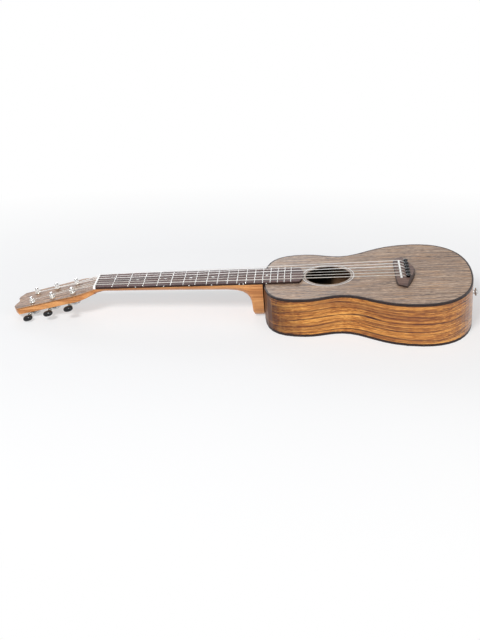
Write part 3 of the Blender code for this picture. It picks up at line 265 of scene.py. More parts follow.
def walnut(name, matrix, warmth=(1.0, 1.0, 1.0), hollow=True):
    """Grey-brown walnut with straight streaks; painted shade under a hollow body's top, or else tan at its
    edges.
    """
    look = Look(name, Specular_IOR_Level=0.3, Roughness=0.42)
    x, y, z = look.axes(matrix)
    y = y + (look.grain(x, y, z, length=0.30, width=0.06, shift=3.0, detail=1.0) - 0.5) * 0.006
    broad = look.grain(x, y, z, length=0.20, width=0.016)
    bands = look.grain(x, y, z, length=0.090, width=0.0030, shift=7.0)
    lines = look.grain(x, y, z, length=0.040, width=0.0018, shift=1.0)
    hair = look.grain(x, y, z, length=0.007, width=0.0013, shift=5.0)
    tone = broad * 0.10 + bands * 0.22 + lines * 0.33 + hair * 0.35
    wood = tone.tint(*((place, [part * gain for part, gain in zip(shade, warmth)])
                       for place, shade in WALNUT_SHADES))
    for shift, length, width, ends, share, colour in WALNUT_STREAKS:
        streak = look.grain(x, y, z, length=length, width=width, shift=shift).ramp(*ends)
        wood = look.mix(streak * share, wood, colour)
    wood, pores = add_pores(look, wood, x, y, z, length=0.005, width=0.00035, share=0.5, colour=WALNUT_PORE)
    if hollow:
        # Painted shade on the underside of a hollow body's top
        wood = look.mix(z.ramp(*TOP_UNDERSIDE_Z, 1.0, 0.0), wood, INNER_PAINTED_SHADE)
    else:
        wood = look.mix(look.facing("Z").ramp(0.5, 0.8, 0.8, 0.0), wood, WALNUT_EDGE)
    look.give(Base_Color=wood, Roughness=lines.ramp(0.35, 0.65, 0.38, 0.50))
    look.bump(hair * 0.4 - pores, strength=0.2, distance=0.00012)
    return look


KOA_SHADES = ((0.41, (0.20, 0.066, 0.022)), (0.47, (0.39, 0.143, 0.036)),
              (0.53, (0.56, 0.233, 0.053)), (0.59, (0.77, 0.37, 0.096)))
KOA_BROWN = (0.20, 0.068, 0.030)
KOA_FRONT_PAINTED_SHADE = (0.060, 0.020, 0.013)
KOA_LINE = (0.050, 0.019, 0.019)
KOA_SHIMMER = (0.86, 0.46, 0.14)
KOA_PORE = (0.05, 0.022, 0.012)
# Growth lines: their spacing, start and strength, and the width of the patches that show them
KOA_GROWTH = ((0.0105, 0.60, 0.95, 0.0080), (0.0053, 0.55, 0.90, 0.0050))
# Where the painted shade at the sides' front end begins and where it is full
FRONT_PAINTED_SHADE_X = (-0.140, -0.092)
SHEEN_X = (0.0, 0.13)
OUTLINE_STRETCH = 1.35
SIDES_APART = 0.05


def koa(name, flat=False):
    """Golden wood with dark growth lines that sway along the sides or a flat plate; painted shade at the
    sides' front end and inside the body, with a painted patch of light inside.
    """
    look = Look(name, Specular_IOR_Level=0.2, Coat_Roughness=0.2)
    x, y, z = look.axes()
    away = y.math("ABSOLUTE")
    if flat:
        along, level, deep = x, away, z
    else:
        along = x * (1 - away / (BODY_LENGTH / 2)) * OUTLINE_STRETCH
        level = z
        deep = y.math("SIGN") * SIDES_APART
    sway = look.grain(along, deep, z, length=0.20, width=0.20, shift=2.0, detail=1.0) - 0.5
    level = level + sway * 0.040
    bend = look.grain(along, level, deep, length=0.11, width=0.024, shift=17.0, detail=2.0)
    broad = look.grain(along, level, deep, length=0.07, width=0.012, shift=3.0)
    lines = look.grain(along, level, deep, length=0.060, width=0.0019, shift=9.0)
    fibre = look.grain(along, level, deep, length=0.004, width=0.0008, shift=5.0)
    tone = broad * 0.28 + lines * 0.30 + fibre * 0.42
    wood = tone.tint(*KOA_SHADES)
    shade = look.grain(along, level, deep, length=0.06, width=0.013, shift=51.0, detail=2.0)
    wood = look.mix(shade.ramp(0.50, 0.66) * 0.62, wood, KOA_BROWN)
    # Painted shade at the front end of the sides, patchy with the grain
    front = x.ramp(*FRONT_PAINTED_SHADE_X, 1.0, 0.0)
    painted_front_shade = front * look.grain(along, level, deep, length=0.05, width=0.008, shift=21.0).ramp(0.20, 0.45)
    wood = look.mix(painted_front_shade * 0.93, wood, KOA_FRONT_PAINTED_SHADE)
    for spacing, start, strength, width in KOA_GROWTH:
        ring = (level / spacing + bend * 2.6 + start).math("FRACT")
        line = ring.ramp(0.80, 0.90) * ring.ramp(0.93, 0.98, 1.0, 0.0)
        patch = look.grain(along, level, deep, length=0.16, width=width, shift=start * 40, detail=2.0)
        wood = look.mix(line * patch.ramp(0.42, 0.50) * strength, wood, KOA_LINE)
    shimmer = look.grain(along, level, deep, length=0.008, width=0.030, shift=33.0, detail=2.0)
    wood = look.mix(shimmer.ramp(0.50, 0.70) * 0.10, wood, KOA_SHIMMER)
    wood, pores = add_pores(look, wood, along, level, deep, length=0.003, width=0.0004, share=0.45,
                            colour=KOA_PORE)
    # Painted shade on the inner faces, with a painted patch of light where the light falls in
    if flat:
        inner = z.ramp(0.0006, 0.0012)
    else:
        outwards = x * look.facing("X") * 0.3 + y * look.facing("Y")
        inner = outwards.ramp(-0.002, 0.002, 1.0, 0.0)
    wood = look.mix(inner, wood, look.mix(x.ramp(*INNER_PAINTED_LIGHT_X), INNER_PAINTED_SHADE, INNER_PAINTED_LIGHT))
    look.give(Base_Color=wood, Roughness=lines.ramp(0.35, 0.65, 0.30, 0.44),
              Coat_Weight=x.ramp(*SHEEN_X, 0.0, 0.5))
    look.bump(fibre * 0.3 - pores, strength=0.2, distance=0.0001)
    return look


MAHOGANY_SHADES = ((0.38, (0.34, 0.115, 0.030)), (0.50, (0.55, 0.220, 0.064)), (0.62, (0.74, 0.35, 0.120)))
MAHOGANY_PORE = (0.20, 0.07, 0.022)


def mahogany(name):
    """Orange-tan neck wood with straight fine grain."""
    look = Look(name, Specular_IOR_Level=0.45, Coat_Weight=0.1, Coat_Roughness=0.3)
    x, y, z = look.axes(NECK_MATRIX)
    z = z + (look.grain(x, y, z, length=0.20, width=0.05, shift=3.0, detail=2.0) - 0.5) * 0.008
    bands = look.grain(x, y, z, length=0.16, width=0.009)
    lines = look.grain(x, y, z, length=0.06, width=0.0020, shift=5.0)
    tone = bands * 0.55 + lines * 0.45
    wood = tone.tint(*MAHOGANY_SHADES)
    wood, pores = add_pores(look, wood, x, y, z, length=0.004, width=0.0004, share=0.4, colour=MAHOGANY_PORE)
    look.give(Base_Color=wood, Roughness=lines.ramp(0.35, 0.65, 0.34, 0.46))
    look.bump(lines * 0.3 - pores, strength=0.2, distance=0.0001)
    return look


# Dark, middle and light shade of each dark wood
FRETBOARD_SHADES = ((0.030, 0.010, 0.009), (0.074, 0.028, 0.024), (0.150, 0.072, 0.062))
BRIDGE_SHADES = ((0.046, 0.024, 0.019), (0.114, 0.062, 0.049), (0.228, 0.149, 0.118))
DARK_WOOD_PAINTED_SHADE = (0.022, 0.013, 0.011)
DARK_PORE = (0.012, 0.008, 0.006)


def dark_wood(name, shades, sheen):
    """Dark streaked wood, dry and open-pored, of the fretboard and the bridge; painted shade down its edges.
    """
    look = Look(name, Specular_IOR_Level=sheen)
    x, y, z = look.axes(NECK_MATRIX)
    streaks = look.grain(x, y, z, length=0.07, width=0.0030, shift=5.0, detail=4.0)
    broad = look.grain(x, y, z, length=0.20, width=0.014)
    tone = streaks * 0.6 + broad * 0.4
    wood = tone.tint(*zip((0.38, 0.50, 0.62), shades))
    # Painted shade on the faces that do not look straight up
    wood = look.mix(look.facing("Z").ramp(0.72, 0.92, 0.80, 0.0), wood, DARK_WOOD_PAINTED_SHADE)
    wood, pores = add_pores(look, wood, x, y, z, length=0.003, width=0.0003, share=0.6, colour=DARK_PORE)
    look.give(Base_Color=wood, Roughness=streaks.ramp(0.35, 0.65, 0.42, 0.60))
    look.bump(streaks * 0.3 - pores, strength=0.3, distance=0.0001)
    return look


def spruce(name):
    """Bare pale wood of the blocks, bars and linings, in the body's shade."""
    look = Look(name, Specular_IOR_Level=0.2, Roughness=0.75)
    x, y, z = look.axes()
    rings = look.grain(x, y, z, length=0.15, width=0.003)
    look.give(Base_Color=rings.tint((0.35, (0.11, 0.070, 0.042)), (0.6, (0.19, 0.13, 0.08))))
    look.bump(rings, strength=0.2, distance=0.0001)
    return look


def polished(name, base, roughness, mottle, coat=0.0, scale=300.0, gloss=0.5):
    """A moulded or polished piece with a faint mottle in its tone and gloss."""
    look = Look(name, Specular_IOR_Level=gloss, Coat_Weight=coat, Coat_Roughness=0.05)
    cloud = look.cloud(look.place, scale=scale, detail=3.0, roughness=0.6)
    darker = tuple(part * (1 - mottle) for part in base)
    look.give(Base_Color=cloud.tint((0.35, darker), (0.65, base)),
              Roughness=cloud.ramp(0.3, 0.7, roughness * 0.8, roughness * 1.25))
    look.bump(cloud, strength=0.05, distance=0.00005)
    return look


def metal(name, base, roughness, wear=0.1, scale=500.0):
    """Plated metal with fine handling marks."""
    look = Look(name, Metallic=1.0)
    cloud = look.cloud(look.place, scale=scale, detail=4.0, roughness=0.65)
    smear = look.cloud(look.place, scale=scale / 8, detail=2.0)
    darker = tuple(part * (1 - wear) for part in base)
    look.give(Base_Color=cloud.tint((0.3, darker), (0.7, base)),
              Roughness=smear.ramp(0.35, 0.7, roughness * 0.7, roughness * 1.5))
    look.bump(cloud, strength=0.04, distance=0.00005)
    return look


def dark_binding(name):
    """Almost black strip with a faint brown grain, round the body's edges."""
    look = Look(name, Specular_IOR_Level=0.3)
    x, y, z = look.axes()
    grain = look.grain(x, z, y, length=0.03, width=0.0012, roughness=0.6)
    look.give(Base_Color=grain.tint((0.35, (0.012, 0.006, 0.006)), (0.65, (0.034, 0.018, 0.016))),
              Roughness=grain.ramp(0.3, 0.7, 0.38, 0.55))
    look.bump(grain, strength=0.08, distance=0.00005)
    return look


# The rosette's pale rings: inner radius, outer radius and colour
PALE_RINGS = ((0.0331, 0.0340, (0.48, 0.44, 0.40)), (0.0361, 0.0373, (0.74, 0.71, 0.68)))


def ringed(name):
    """Two thin pale rings with brown wood between them, by distance from the hole's middle."""
    look = Look(name, Specular_IOR_Level=0.4, Roughness=0.4)
    x, y, _ = look.axes(NECK_MATRIX @ Matrix.Translation((HOLE_X, 0, 0)))
    distance = (x * x + y * y).math("SQRT")
    speck = look.cloud(look.place, scale=700.0, detail=2.0)
    wood = speck.tint((0.35, (0.13, 0.085, 0.06)), (0.65, (0.27, 0.185, 0.13)))
    for inner, outer, colour in PALE_RINGS:
        wood = look.mix(distance.within(inner, outer), wood, colour)
    look.give(Base_Color=wood)
    look.bump(speck, strength=0.08, distance=0.00005)
    return look


def wound_wire(name, pitch):
    """Silver wire wound on a core: fine rings along the string."""
    look = Look(name, Metallic=0.8)
    x, _, _ = look.axes()
    rings = (x * (2 * math.pi / pitch)).math("SINE")
    cloud = look.cloud(look.place, scale=120.0, detail=3.0, roughness=0.6)
    look.give(Base_Color=cloud.tint((0.3, (0.70, 0.67, 0.62)), (0.7, (0.88, 0.86, 0.82))),
              Roughness=cloud.ramp(0.3, 0.7, 0.28, 0.42))
    look.bump(rings, strength=0.5, distance=0.00006)
    return look


def clear_nylon(name):
    """Milky white string."""
    look = Look(name, Specular_IOR_Level=0.5, Coat_Weight=0.2)
    cloud = look.cloud(look.place, scale=90.0, detail=2.0)
    look.give(Base_Color=cloud.tint((0.3, (0.84, 0.82, 0.79)), (0.7, (0.94, 0.93, 0.91))),
              Roughness=cloud.ramp(0.3, 0.7, 0.25, 0.35))
    return look


TOP = walnut("walnut_top", matrix=NECK_MATRIX)
HEAD_FACE = walnut("walnut_headstock", matrix=HEAD_MATRIX, warmth=(0.98, 0.86, 0.80), hollow=False)
SIDES = koa("koa_sides")
BACK = koa("koa_back", flat=True)
NECK = mahogany("mahogany_neck")
BOARD = dark_wood("dark_fretboard", shades=FRETBOARD_SHADES, sheen=0.22)
BRIDGE = dark_wood("bridge_walnut", shades=BRIDGE_SHADES, sheen=0.3)
INSIDE = spruce("spruce_inside")
BINDING = dark_binding("black_binding")
ROSETTE = ringed("rosette_rings")
BONE = polished("white_bone", base=(0.98, 0.975, 0.95), roughness=0.35, mottle=0.03, coat=0.1)
PEARL = polished("pearl_dots", base=(0.82, 0.82, 0.79), roughness=0.22, mottle=0.25, coat=0.3, scale=900.0)
BLACK = polished("glossy_black", base=(0.003, 0.003, 0.005), roughness=0.05, mottle=0.3, scale=200.0,
                 gloss=0.38)
CHROME = metal("chrome", base=(0.64, 0.64, 0.64), roughness=0.14)
NICKEL = metal("nickel", base=(0.80, 0.78, 0.72), roughness=0.30)
FRET_METAL = metal("fret_silver", base=(0.74, 0.73, 0.71), roughness=0.26, wear=0.12)
WOUND = wound_wire("wound_silver", pitch=0.0004)
NYLON = clear_nylon("clear_nylon")


def soften(piece, width, segments=2, angle=35):
    """A live bevel on the piece's sharp edges."""
    edge = piece.modifiers.new("soft_edges", "BEVEL")
    edge.width = width
    edge.segments = segments
    edge.limit_method = "ANGLE"
    edge.angle_limit = math.radians(angle)
    edge.harden_normals = True


def dress(names, look, bevel=0.0, segments=2, smooth=30):
    """Give CAD nodes their material, smooth shading and soft edges."""
    for name in names:
        node = NODES[name]
        node.data.materials.clear()
        node.data.materials.append(look.material)
        node.data.shade_smooth()
        node.data.set_sharp_from_angle(angle=math.radians(smooth))
        if bevel:
            soften(node, width=bevel, segments=segments, angle=smooth + 5)


def six(base):
    """The names of the six nodes of a kind."""
    return [f"{base}_{number}" for number in range(1, 7)]


dress(["soundboard"], TOP, bevel=0.0002, segments=1)
dress(["headstock_veneer"], HEAD_FACE, bevel=0.0003)
dress(["side_bass", "side_treble"], SIDES)
dress(["back_plate"], BACK, bevel=0.0003, segments=1)
dress(["top_binding", "back_binding"], BINDING, bevel=0.0005, segments=3)
dress(["neck"], NECK, bevel=0.0005)
dress(["bridge"], BRIDGE, bevel=0.0004, smooth=20)
dress(["rosette"], ROSETTE)
dress(["nut", "saddle"], BONE, bevel=0.0003)
dress(["neck_block", "tail_block", "top_lining", "back_lining", "top_brace_upper", "top_brace_lower",
       "back_brace_upper", "back_brace_lower", "bridge_plate"], INSIDE)
dress(["strap_button", "strap_screw"] + six("tuner_frame") + six("tuner_post") + six("tuner_worm"), CHROME)
dress(six("tuner_knob") + six("bridge_pin"), BLACK, smooth=60)
dress(["string_1", "string_2", "string_3"], NYLON, smooth=70)
dress(["string_4", "string_5", "string_6"], WOUND, smooth=70)


# Shapes

MERGE_DISTANCE = 0.000002


def seal(bm):
    """Merge doubled points and turn the faces outwards."""
    bmesh.ops.remove_doubles(bm, verts=bm.verts, dist=MERGE_DISTANCE)
    bmesh.ops.recalc_face_normals(bm, faces=bm.faces)


def add_object(name, data):
    """A new object at the origin, in the scene."""
    made = bpy.data.objects.new(name, data)
    bpy.context.scene.collection.objects.link(made)
    return made


def finish(name, bm, look, matrix=NECK_MATRIX, body=WHOLE, stands_for=(), smooth=35):
    """A finished piece that rides on a CAD body and may stand for CAD nodes."""
    seal(bm)
    mesh = bpy.data.meshes.new(name)
    bm.to_mesh(mesh)
    bm.free()
    mesh.transform(matrix)
    mesh.materials.append(look.material)
    mesh.shade_smooth()
    mesh.set_sharp_from_angle(angle=math.radians(smooth))
    piece = add_object(name, mesh)
    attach(piece, body)
    if stands_for:
        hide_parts(*stands_for)
    return piece


def raised(profile, base):
    """A profile of (radius, height) steps, with its heights counted from a base."""
    return [(radius, base + height) for radius, height in profile]


def add_turned(bm, profile, steps=32, matrix=Matrix()):
    """Spin (radius, height) steps about Z, then move the result."""
    verts = [bm.verts.new((radius, 0, height)) for radius, height in profile]
    edges = [bm.edges.new(pair) for pair in zip(verts, verts[1:])]
    if profile[0][0] > 0 and profile[-1][0] > 0 and profile[0][0] != profile[-1][0]:
        edges.append(bm.edges.new((verts[-1], verts[0])))
    before = set(bm.verts) - set(verts)
    bmesh.ops.spin(bm, geom=verts + edges, cent=(0, 0, 0), axis=(0, 0, 1), dvec=(0, 0, 0), steps=steps,
                   angle=2 * math.pi, use_merge=True, use_normal_flip=False, use_duplicate=False)
    bmesh.ops.transform(bm, matrix=matrix, verts=[v for v in bm.verts if v not in before])


def round_off(bm, edges, width, segments):
    """Round some of a shape's edges."""
    bmesh.ops.bevel(bm, geom=edges, offset=width, affect="EDGES", segments=segments, profile=0.5,
                    material=-1, clamp_overlap=True)


def add_block(bm, low, high, bevel=0.0):
    """A box from its lowest to its highest corner; a bevel rounds its edges."""
    low, high = Vector(low), Vector(high)
    made = bmesh.ops.create_cube(bm, size=1.0, matrix=Matrix.Translation((low + high) / 2)
                                 @ Matrix.Diagonal((*(high - low), 1)))
    if bevel:
        edges = dict.fromkeys(edge for vert in made["verts"] for edge in vert.link_edges)
        round_off(bm, list(edges), bevel, segments=2)


def thicken(bm, faces, height):
    """Extrude flat faces upwards into a closed shape."""
    new = bmesh.ops.extrude_face_region(bm, geom=faces, use_keep_orig=True)["geom"]
    bmesh.ops.translate(bm, verts=[item for item in new if isinstance(item, bmesh.types.BMVert)],
                        vec=(0, 0, height))


def join(bm, other):
    """Move all of another shape into this one."""
    mesh = bpy.data.meshes.new("joined")
    other.to_mesh(mesh)
    other.free()
    bm.from_mesh(mesh)
    bpy.data.meshes.remove(mesh)


def cut_out(bm, cutter):
    """Take one closed shape out of another."""
    shapes = []
    for shape in (bm, cutter):
        seal(shape)
        mesh = bpy.data.meshes.new("shape")
        shape.to_mesh(mesh)
        shapes.append(add_object("shape", mesh))
    cut = shapes[0].modifiers.new("cut", "BOOLEAN")
    cut.object = shapes[1]
    cut.solver = "EXACT"
    result = bpy.data.meshes.new_from_object(shapes[0].evaluated_get(bpy.context.evaluated_depsgraph_get()))
    bm.clear()
    bm.from_mesh(result)
    cutter.free()
    for mesh in [shape.data for shape in shapes] + [result]:
        bpy.data.meshes.remove(mesh)


# Fretboard

BOW_STEPS = 12
FRET_HEIGHT = 0.0008
FRET_WIDTH = 0.0013
FRET_CROWN = FRET_HEIGHT * 0.8
FRET_ROOT = 0.0003
DOT_FRETS = (3, 5, 7, 9, 12, 15)
OCTAVE = 12
OCTAVE_SHIFTS = (-0.0028, 0.0028)
FACE_DOT_RADIUS = 0.0021
EDGE_DOT_RADIUS = 0.0009
DOT_DEPTH = 0.0004


def fret_x(number):
    """A fret's distance from the nut."""
    return SCALE_LENGTH * (1 - 2 ** (-number / 12))


def board_half(x):
    """Half the board's width at a distance from the nut."""
    return NUT_HALF + (LAST_FRET_HALF - NUT_HALF) * x / fret_x(FRET_COUNT)


def make_fretboard():
    """The board, with its bowed end and soft edges."""
    corner = board_half(FRETBOARD_CORNER_X)
    bow = FRETBOARD_END_X - FRETBOARD_CORNER_X
    plan = [(0, -NUT_HALF)]
    plan += [(FRETBOARD_END_X - bow * (step / BOW_STEPS) ** 2, corner * step / BOW_STEPS)
             for step in range(-BOW_STEPS, BOW_STEPS + 1)]
    plan += [(0, NUT_HALF)]
    bm = bmesh.new()
    face = bm.faces.new([bm.verts.new((x, y, GAP)) for x, y in plan])
    thicken(bm, [face], FRETBOARD_THICKNESS)
    board = finish("fretboard_wood", bm, BOARD, stands_for=["fretboard"])
    soften(board, width=0.0004)


def make_frets():
    """Crowned wires, rounded at their ends too."""
    bm = bmesh.new()
    for number in range(1, FRET_COUNT + 1):
        x = fret_x(number)
        half = board_half(x)
        wire = bmesh.new()
        add_block(wire, (x - FRET_WIDTH / 2, -half, FRETBOARD_TOP - FRET_ROOT),
                  (x + FRET_WIDTH / 2, half, FRETBOARD_TOP + FRET_HEIGHT))
        upper = [edge for edge in wire.edges if min(v.co.z for v in edge.verts) > FRETBOARD_TOP]
        round_off(wire, upper, FRET_CROWN, segments=4)
        join(bm, wire)
    finish("fret_wires", bm, FRET_METAL, smooth=50)


def add_dot(bm, matrix, radius):
    """A round inlay whose face stands a hair proud, with a soft rim."""
    profile = [(0, -DOT_DEPTH), (radius, -DOT_DEPTH), (radius, -0.00002), (radius * 0.93, 0.00004),
               (0, 0.00005)]
    add_turned(bm, profile, steps=20, matrix=matrix)


def make_dots():
    """Pearl dots on the board's face, and small ones on its bass edge, doubled at the octave."""
    face = bmesh.new()
    edge = bmesh.new()
    for number in DOT_FRETS:
        x = (fret_x(number - 1) + fret_x(number)) / 2
        if number != OCTAVE:
            add_dot(face, Matrix.Translation((x, 0, FRETBOARD_TOP)), FACE_DOT_RADIUS)
        for shift in (OCTAVE_SHIFTS if number == OCTAVE else (0.0,)):
            spot = Matrix.Translation((x + shift, -board_half(x + shift), GAP + FRETBOARD_THICKNESS / 2))
            add_dot(edge, spot @ Matrix.Rotation(math.pi / 2, 4, "X"), EDGE_DOT_RADIUS)
    finish("face_dots", face, PEARL)
    finish("edge_dots", edge, PEARL)


# Bridge pins

# The head's heights are counted from the neck under it
PIN_NECK = BRIDGE_TOP + 0.0018
PIN_SHAFT = [(0, -0.0115), (0.0010, -0.0114), (0.0016, -0.0105), (0.0016, -0.0045), (0.00225, 0.0029)]
PIN_HEAD = [(0.00225, -0.0004), (0.0028, 0), (0.0033, 0.0003), (0.0035, 0.0008), (0.00345, 0.0013),
            (0.0031, 0.0018), (0.0023, 0.0022), (0.0012, 0.00238), (0, 0.0024)]


def string_y(number):
    """Where a string crosses the saddle."""
    return (7 - 2 * number) / 10 * SADDLE_STRING_SPAN


def make_pins():
    """Turned black pins with round heads; each lifts with its own body."""
    for number in range(1, 7):
        bm = bmesh.new()
        add_turned(bm, PIN_SHAFT + raised(PIN_HEAD, PIN_NECK),
                   matrix=Matrix.Translation((PIN_X, string_y(number), 0)))
        finish(f"pin_{number}_turned", bm, BLACK, body=f"pin_{number}",
               stands_for=[f"bridge_pin_{number}"], smooth=60)


# Tuners

# The heights of the post's parts are counted from the wheel's underside, the string hole and the top
POST_FOOT = [(0, -0.0013), (0.0019, -0.0013), (POST_RADIUS, -0.0009)]
POST_WAIST = [(POST_RADIUS, -0.0018), (POST_RADIUS * 0.90, -0.0012), (POST_RADIUS * 0.90, 0.0005),
              (POST_RADIUS, 0.0009)]
POST_DOME = [(POST_RADIUS, -0.0007), (POST_RADIUS * 0.88, -0.0003), (POST_RADIUS * 0.6, -0.00008), (0, 0)]
STRING_HOLE_RADIUS = 0.00085
STRING_HOLE_REACH = 0.005
SLOT_HALF_LENGTH = 0.0016
SLOT_HALF_WIDTH = 0.00035
SLOT_FLOOR = WHEEL_BOTTOM - 0.0008
SLOT_MOUTH = WHEEL_BOTTOM - 0.0020
WHEEL_ROOT = 0.0052
WHEEL_TIP = 0.00655
# A tooth's corners: their radius, and the tooth's width there, with its side as the sign
TOOTH = ((WHEEL_ROOT, -0.0015), (WHEEL_TIP, -0.0006), (WHEEL_TIP, 0.0006), (WHEEL_ROOT, 0.0015))

PLATE_FRONT_X = -0.0125
PLATE_TAIL_X = 0.0112
PLATE_HALF_WIDTH = 0.0072
PLATE_CORNER = 0.0022
EAR_INNER_Y = 0.0055
EAR_OUTER_Y = 0.0065
EAR_HALF = 0.0032
EAR_ROOT = 0.0003
EAR_BEVEL = 0.0004
SCREW_X = 0.0088
SCREW_Y = 0.0045
BUSHING = [(0.0027, 0.0016), (0.0027, PLATE_BOTTOM), (0.0033, PLATE_BOTTOM), (0.0033, GAP),
           (0.0042, GAP), (0.0042, 0.0007), (0.0040, 0.0012), (0.0036, 0.0015), (0.0031, 0.0016)]
# Its heights are counted from the plate's underside
SCREW_HEAD = [(0, -0.0009), (0.0008, -0.00085), (0.0014, -0.0006), (0.0018, -0.0001), (0.0018, 0.0002),
              (0, 0.0002)]

KNOB_HALVES = (0.0070, 0.0052, 0.0039)
KNOB_FULLNESS = 0.84


def tuner_places():
    """Number, matrix of the post's foot and side of each tuner, in the headstock's frame."""
    for number in range(1, 7):
        side = 1 if number <= 3 else -1
        order = number - 1 if side > 0 else 6 - number
        yield number, Matrix.Translation((-FIRST_POST - order * POST_SPACING, POST_Y * side, 0)), side


def post_with_wheel():
    """A turned post with its string hole and screw slot, on a toothed wheel, about its own axis."""
    shaft = bmesh.new()
    add_turned(shaft, raised(POST_FOOT, WHEEL_BOTTOM) + raised(POST_WAIST, STRING_HOLE_HEIGHT)
               + raised(POST_DOME, POST_TOP))
    hole = bmesh.new()
    drill = [(0, 0), (STRING_HOLE_RADIUS, 0), (STRING_HOLE_RADIUS, 2 * STRING_HOLE_REACH),
             (0, 2 * STRING_HOLE_REACH)]
    across = (Matrix.Translation((0, STRING_HOLE_REACH, STRING_HOLE_HEIGHT))
              @ Matrix.Rotation(math.pi / 2, 4, "X"))
    add_turned(hole, drill, steps=16, matrix=across)
    cut_out(shaft, hole)
    slot = bmesh.new()
    add_block(slot, (-SLOT_HALF_LENGTH, -SLOT_HALF_WIDTH, SLOT_MOUTH),
              (SLOT_HALF_LENGTH, SLOT_HALF_WIDTH, SLOT_FLOOR))
    cut_out(shaft, slot)
    wheel = bmesh.new()
    corners = len(TOOTH)
    rim = bmesh.ops.create_circle(wheel, cap_ends=True, segments=WHEEL_TEETH * corners, radius=1.0)["verts"]
    for index, vert in enumerate(rim):
        middle = math.pi + (index // corners + 0.5) * 2 * math.pi / WHEEL_TEETH
        radius, width = TOOTH[index % corners]
        angle = middle + width / 2 / radius
        vert.co = (radius * math.cos(angle), radius * math.sin(angle), WHEEL_BOTTOM)
    thicken(wheel, list(wheel.faces), WHEEL_TOP - WHEEL_BOTTOM)
    join(shaft, wheel)
    return shaft


def make_posts():
    """Round string posts with a domed top and a string hole, each on its toothed wheel."""
    model = post_with_wheel()
    for number, spot, _ in tuner_places():
        bm = model.copy()
        bmesh.ops.transform(bm, matrix=spot, verts=bm.verts)
        finish(f"post_{number}_turned", bm, CHROME, HEAD_MATRIX, body=f"string_post_{number}",
               stands_for=[f"tuner_post_{number}"])
    model.free()


def make_tuner_frames():
    """Base plates with rounded corners, two ears, a bushing with its flange and two screw heads."""
    for number, spot, _ in tuner_places():
        plate = bmesh.new()
        add_block(plate, (PLATE_FRONT_X, -PLATE_HALF_WIDTH, PLATE_BOTTOM),
                  (PLATE_TAIL_X, PLATE_HALF_WIDTH, PLATE_TOP))
        upright = [edge for edge in plate.edges
                   if abs(edge.verts[0].co.z - edge.verts[1].co.z) > PLATE_THICKNESS / 2]
        round_off(plate, upright, PLATE_CORNER, segments=5)
        bm = bmesh.new()
        join(bm, plate)
        for sign in (-1, 1):
            near, far = sorted((sign * EAR_INNER_Y, sign * EAR_OUTER_Y))
            add_block(bm, (-WORM_FROM_POST - EAR_HALF, near, WORM_Z - EAR_HALF),
                      (-WORM_FROM_POST + EAR_HALF, far, PLATE_BOTTOM + EAR_ROOT), EAR_BEVEL)
            add_turned(bm, raised(SCREW_HEAD, PLATE_BOTTOM), steps=20,
                       matrix=Matrix.Translation((SCREW_X, sign * SCREW_Y, 0)))
        add_turned(bm, BUSHING, steps=36)
        bmesh.ops.transform(bm, matrix=spot, verts=bm.verts)
        piece = finish(f"tuner_{number}_plate", bm, NICKEL, HEAD_MATRIX,
                       stands_for=[f"tuner_frame_{number}"])
        soften(piece, width=0.00012, segments=1)


def make_knobs():
    """Glossy oval buttons on the worms' shafts, a little fuller than true ovals."""
    for number, spot, side in tuner_places():
        bm = bmesh.new()
        bmesh.ops.create_uvsphere(bm, u_segments=36, v_segments=24, radius=1.0)
        for vert in bm.verts:
            fuller = [math.copysign(abs(part) ** KNOB_FULLNESS, part) for part in vert.co]
            vert.co = [part * half for part, half in zip(fuller, KNOB_HALVES)]
        outwards = side * (KNOB_START_Y + KNOB_LENGTH / 2 - POST_Y)
        bmesh.ops.transform(bm, matrix=spot @ Matrix.Translation((-WORM_FROM_POST, outwards, WORM_Z)),
                            verts=bm.verts)
        finish(f"knob_{number}_button", bm, BLACK, HEAD_MATRIX, body=f"tuning_key_{number}",
               stands_for=[f"tuner_knob_{number}"], smooth=70)


# Strap button

# Radius and distance from the tail
STRAP_BUTTON = ((0.0019, 0.0003), (0.0052, 0.0003), (0.0052, 0.0008), (0.0046, 0.0013), (0.0037, 0.0020),
                (0.0033, 0.0029), (0.0033, 0.0043), (0.0038, 0.0051), (0.0054, 0.0057), (0.0061, 0.0061),
                (0.0062, 0.0066), (0.0060, 0.0071), (0.0053, 0.0075), (0.0030, 0.0076), (0.0019, 0.0076))


def make_strap_button():
    """The turned button at the tail, open in the middle for its screw."""
    bm = bmesh.new()
    outwards = Matrix.Translation((TAIL_X, 0, -DEPTH_TAIL / 2)) @ Matrix.Rotation(math.pi / 2, 4, "Y")
    add_turned(bm, STRAP_BUTTON, steps=40, matrix=outwards)
    finish("strap_button_turned", bm, CHROME, stands_for=["strap_button"], smooth=50)


make_fretboard()
make_frets()
make_dots()
make_pins()
make_posts()
make_tuner_frames()
make_knobs()
make_strap_button()


# Studio

FLOOR_Z = -0.0002
FLOOR_HALF = 30
# In an oval round the object the floor is only half plain white, so that the shadow shows
OVAL_FORWARD = 0.19
OVAL_HALF_LENGTH = 0.42
OVAL_HALF_WIDTH = 0.24
OVAL_FADE = (1.0, 2.4)
WHITE = (1, 1, 1)


def area_light(name, place, target, size, power, colour=WHITE):
    """A soft box at a place, facing a target."""
    light = bpy.data.lights.new(name, "AREA")
    light.shape = "RECTANGLE"
    light.size, light.size_y = size
    light.energy = power
    light.color = colour
    box = add_object(name, light)
    box.location = place
    box.rotation_euler = (Vector(target) - Vector(place)).to_track_quat("-Z", "Y").to_euler()


def seen(nodes):
    """1 for rays from the camera, off glossy surfaces and through clear ones."""
    rays = nodes.node("LightPath").socket.node.outputs
    names = ("Is Camera Ray", "Is Glossy Ray", "Is Transmission Ray")
    camera, glossy, clear = (Value(nodes, rays[name]) for name in names)
    return camera.math("MAXIMUM", glossy).math("MAXIMUM", clear)


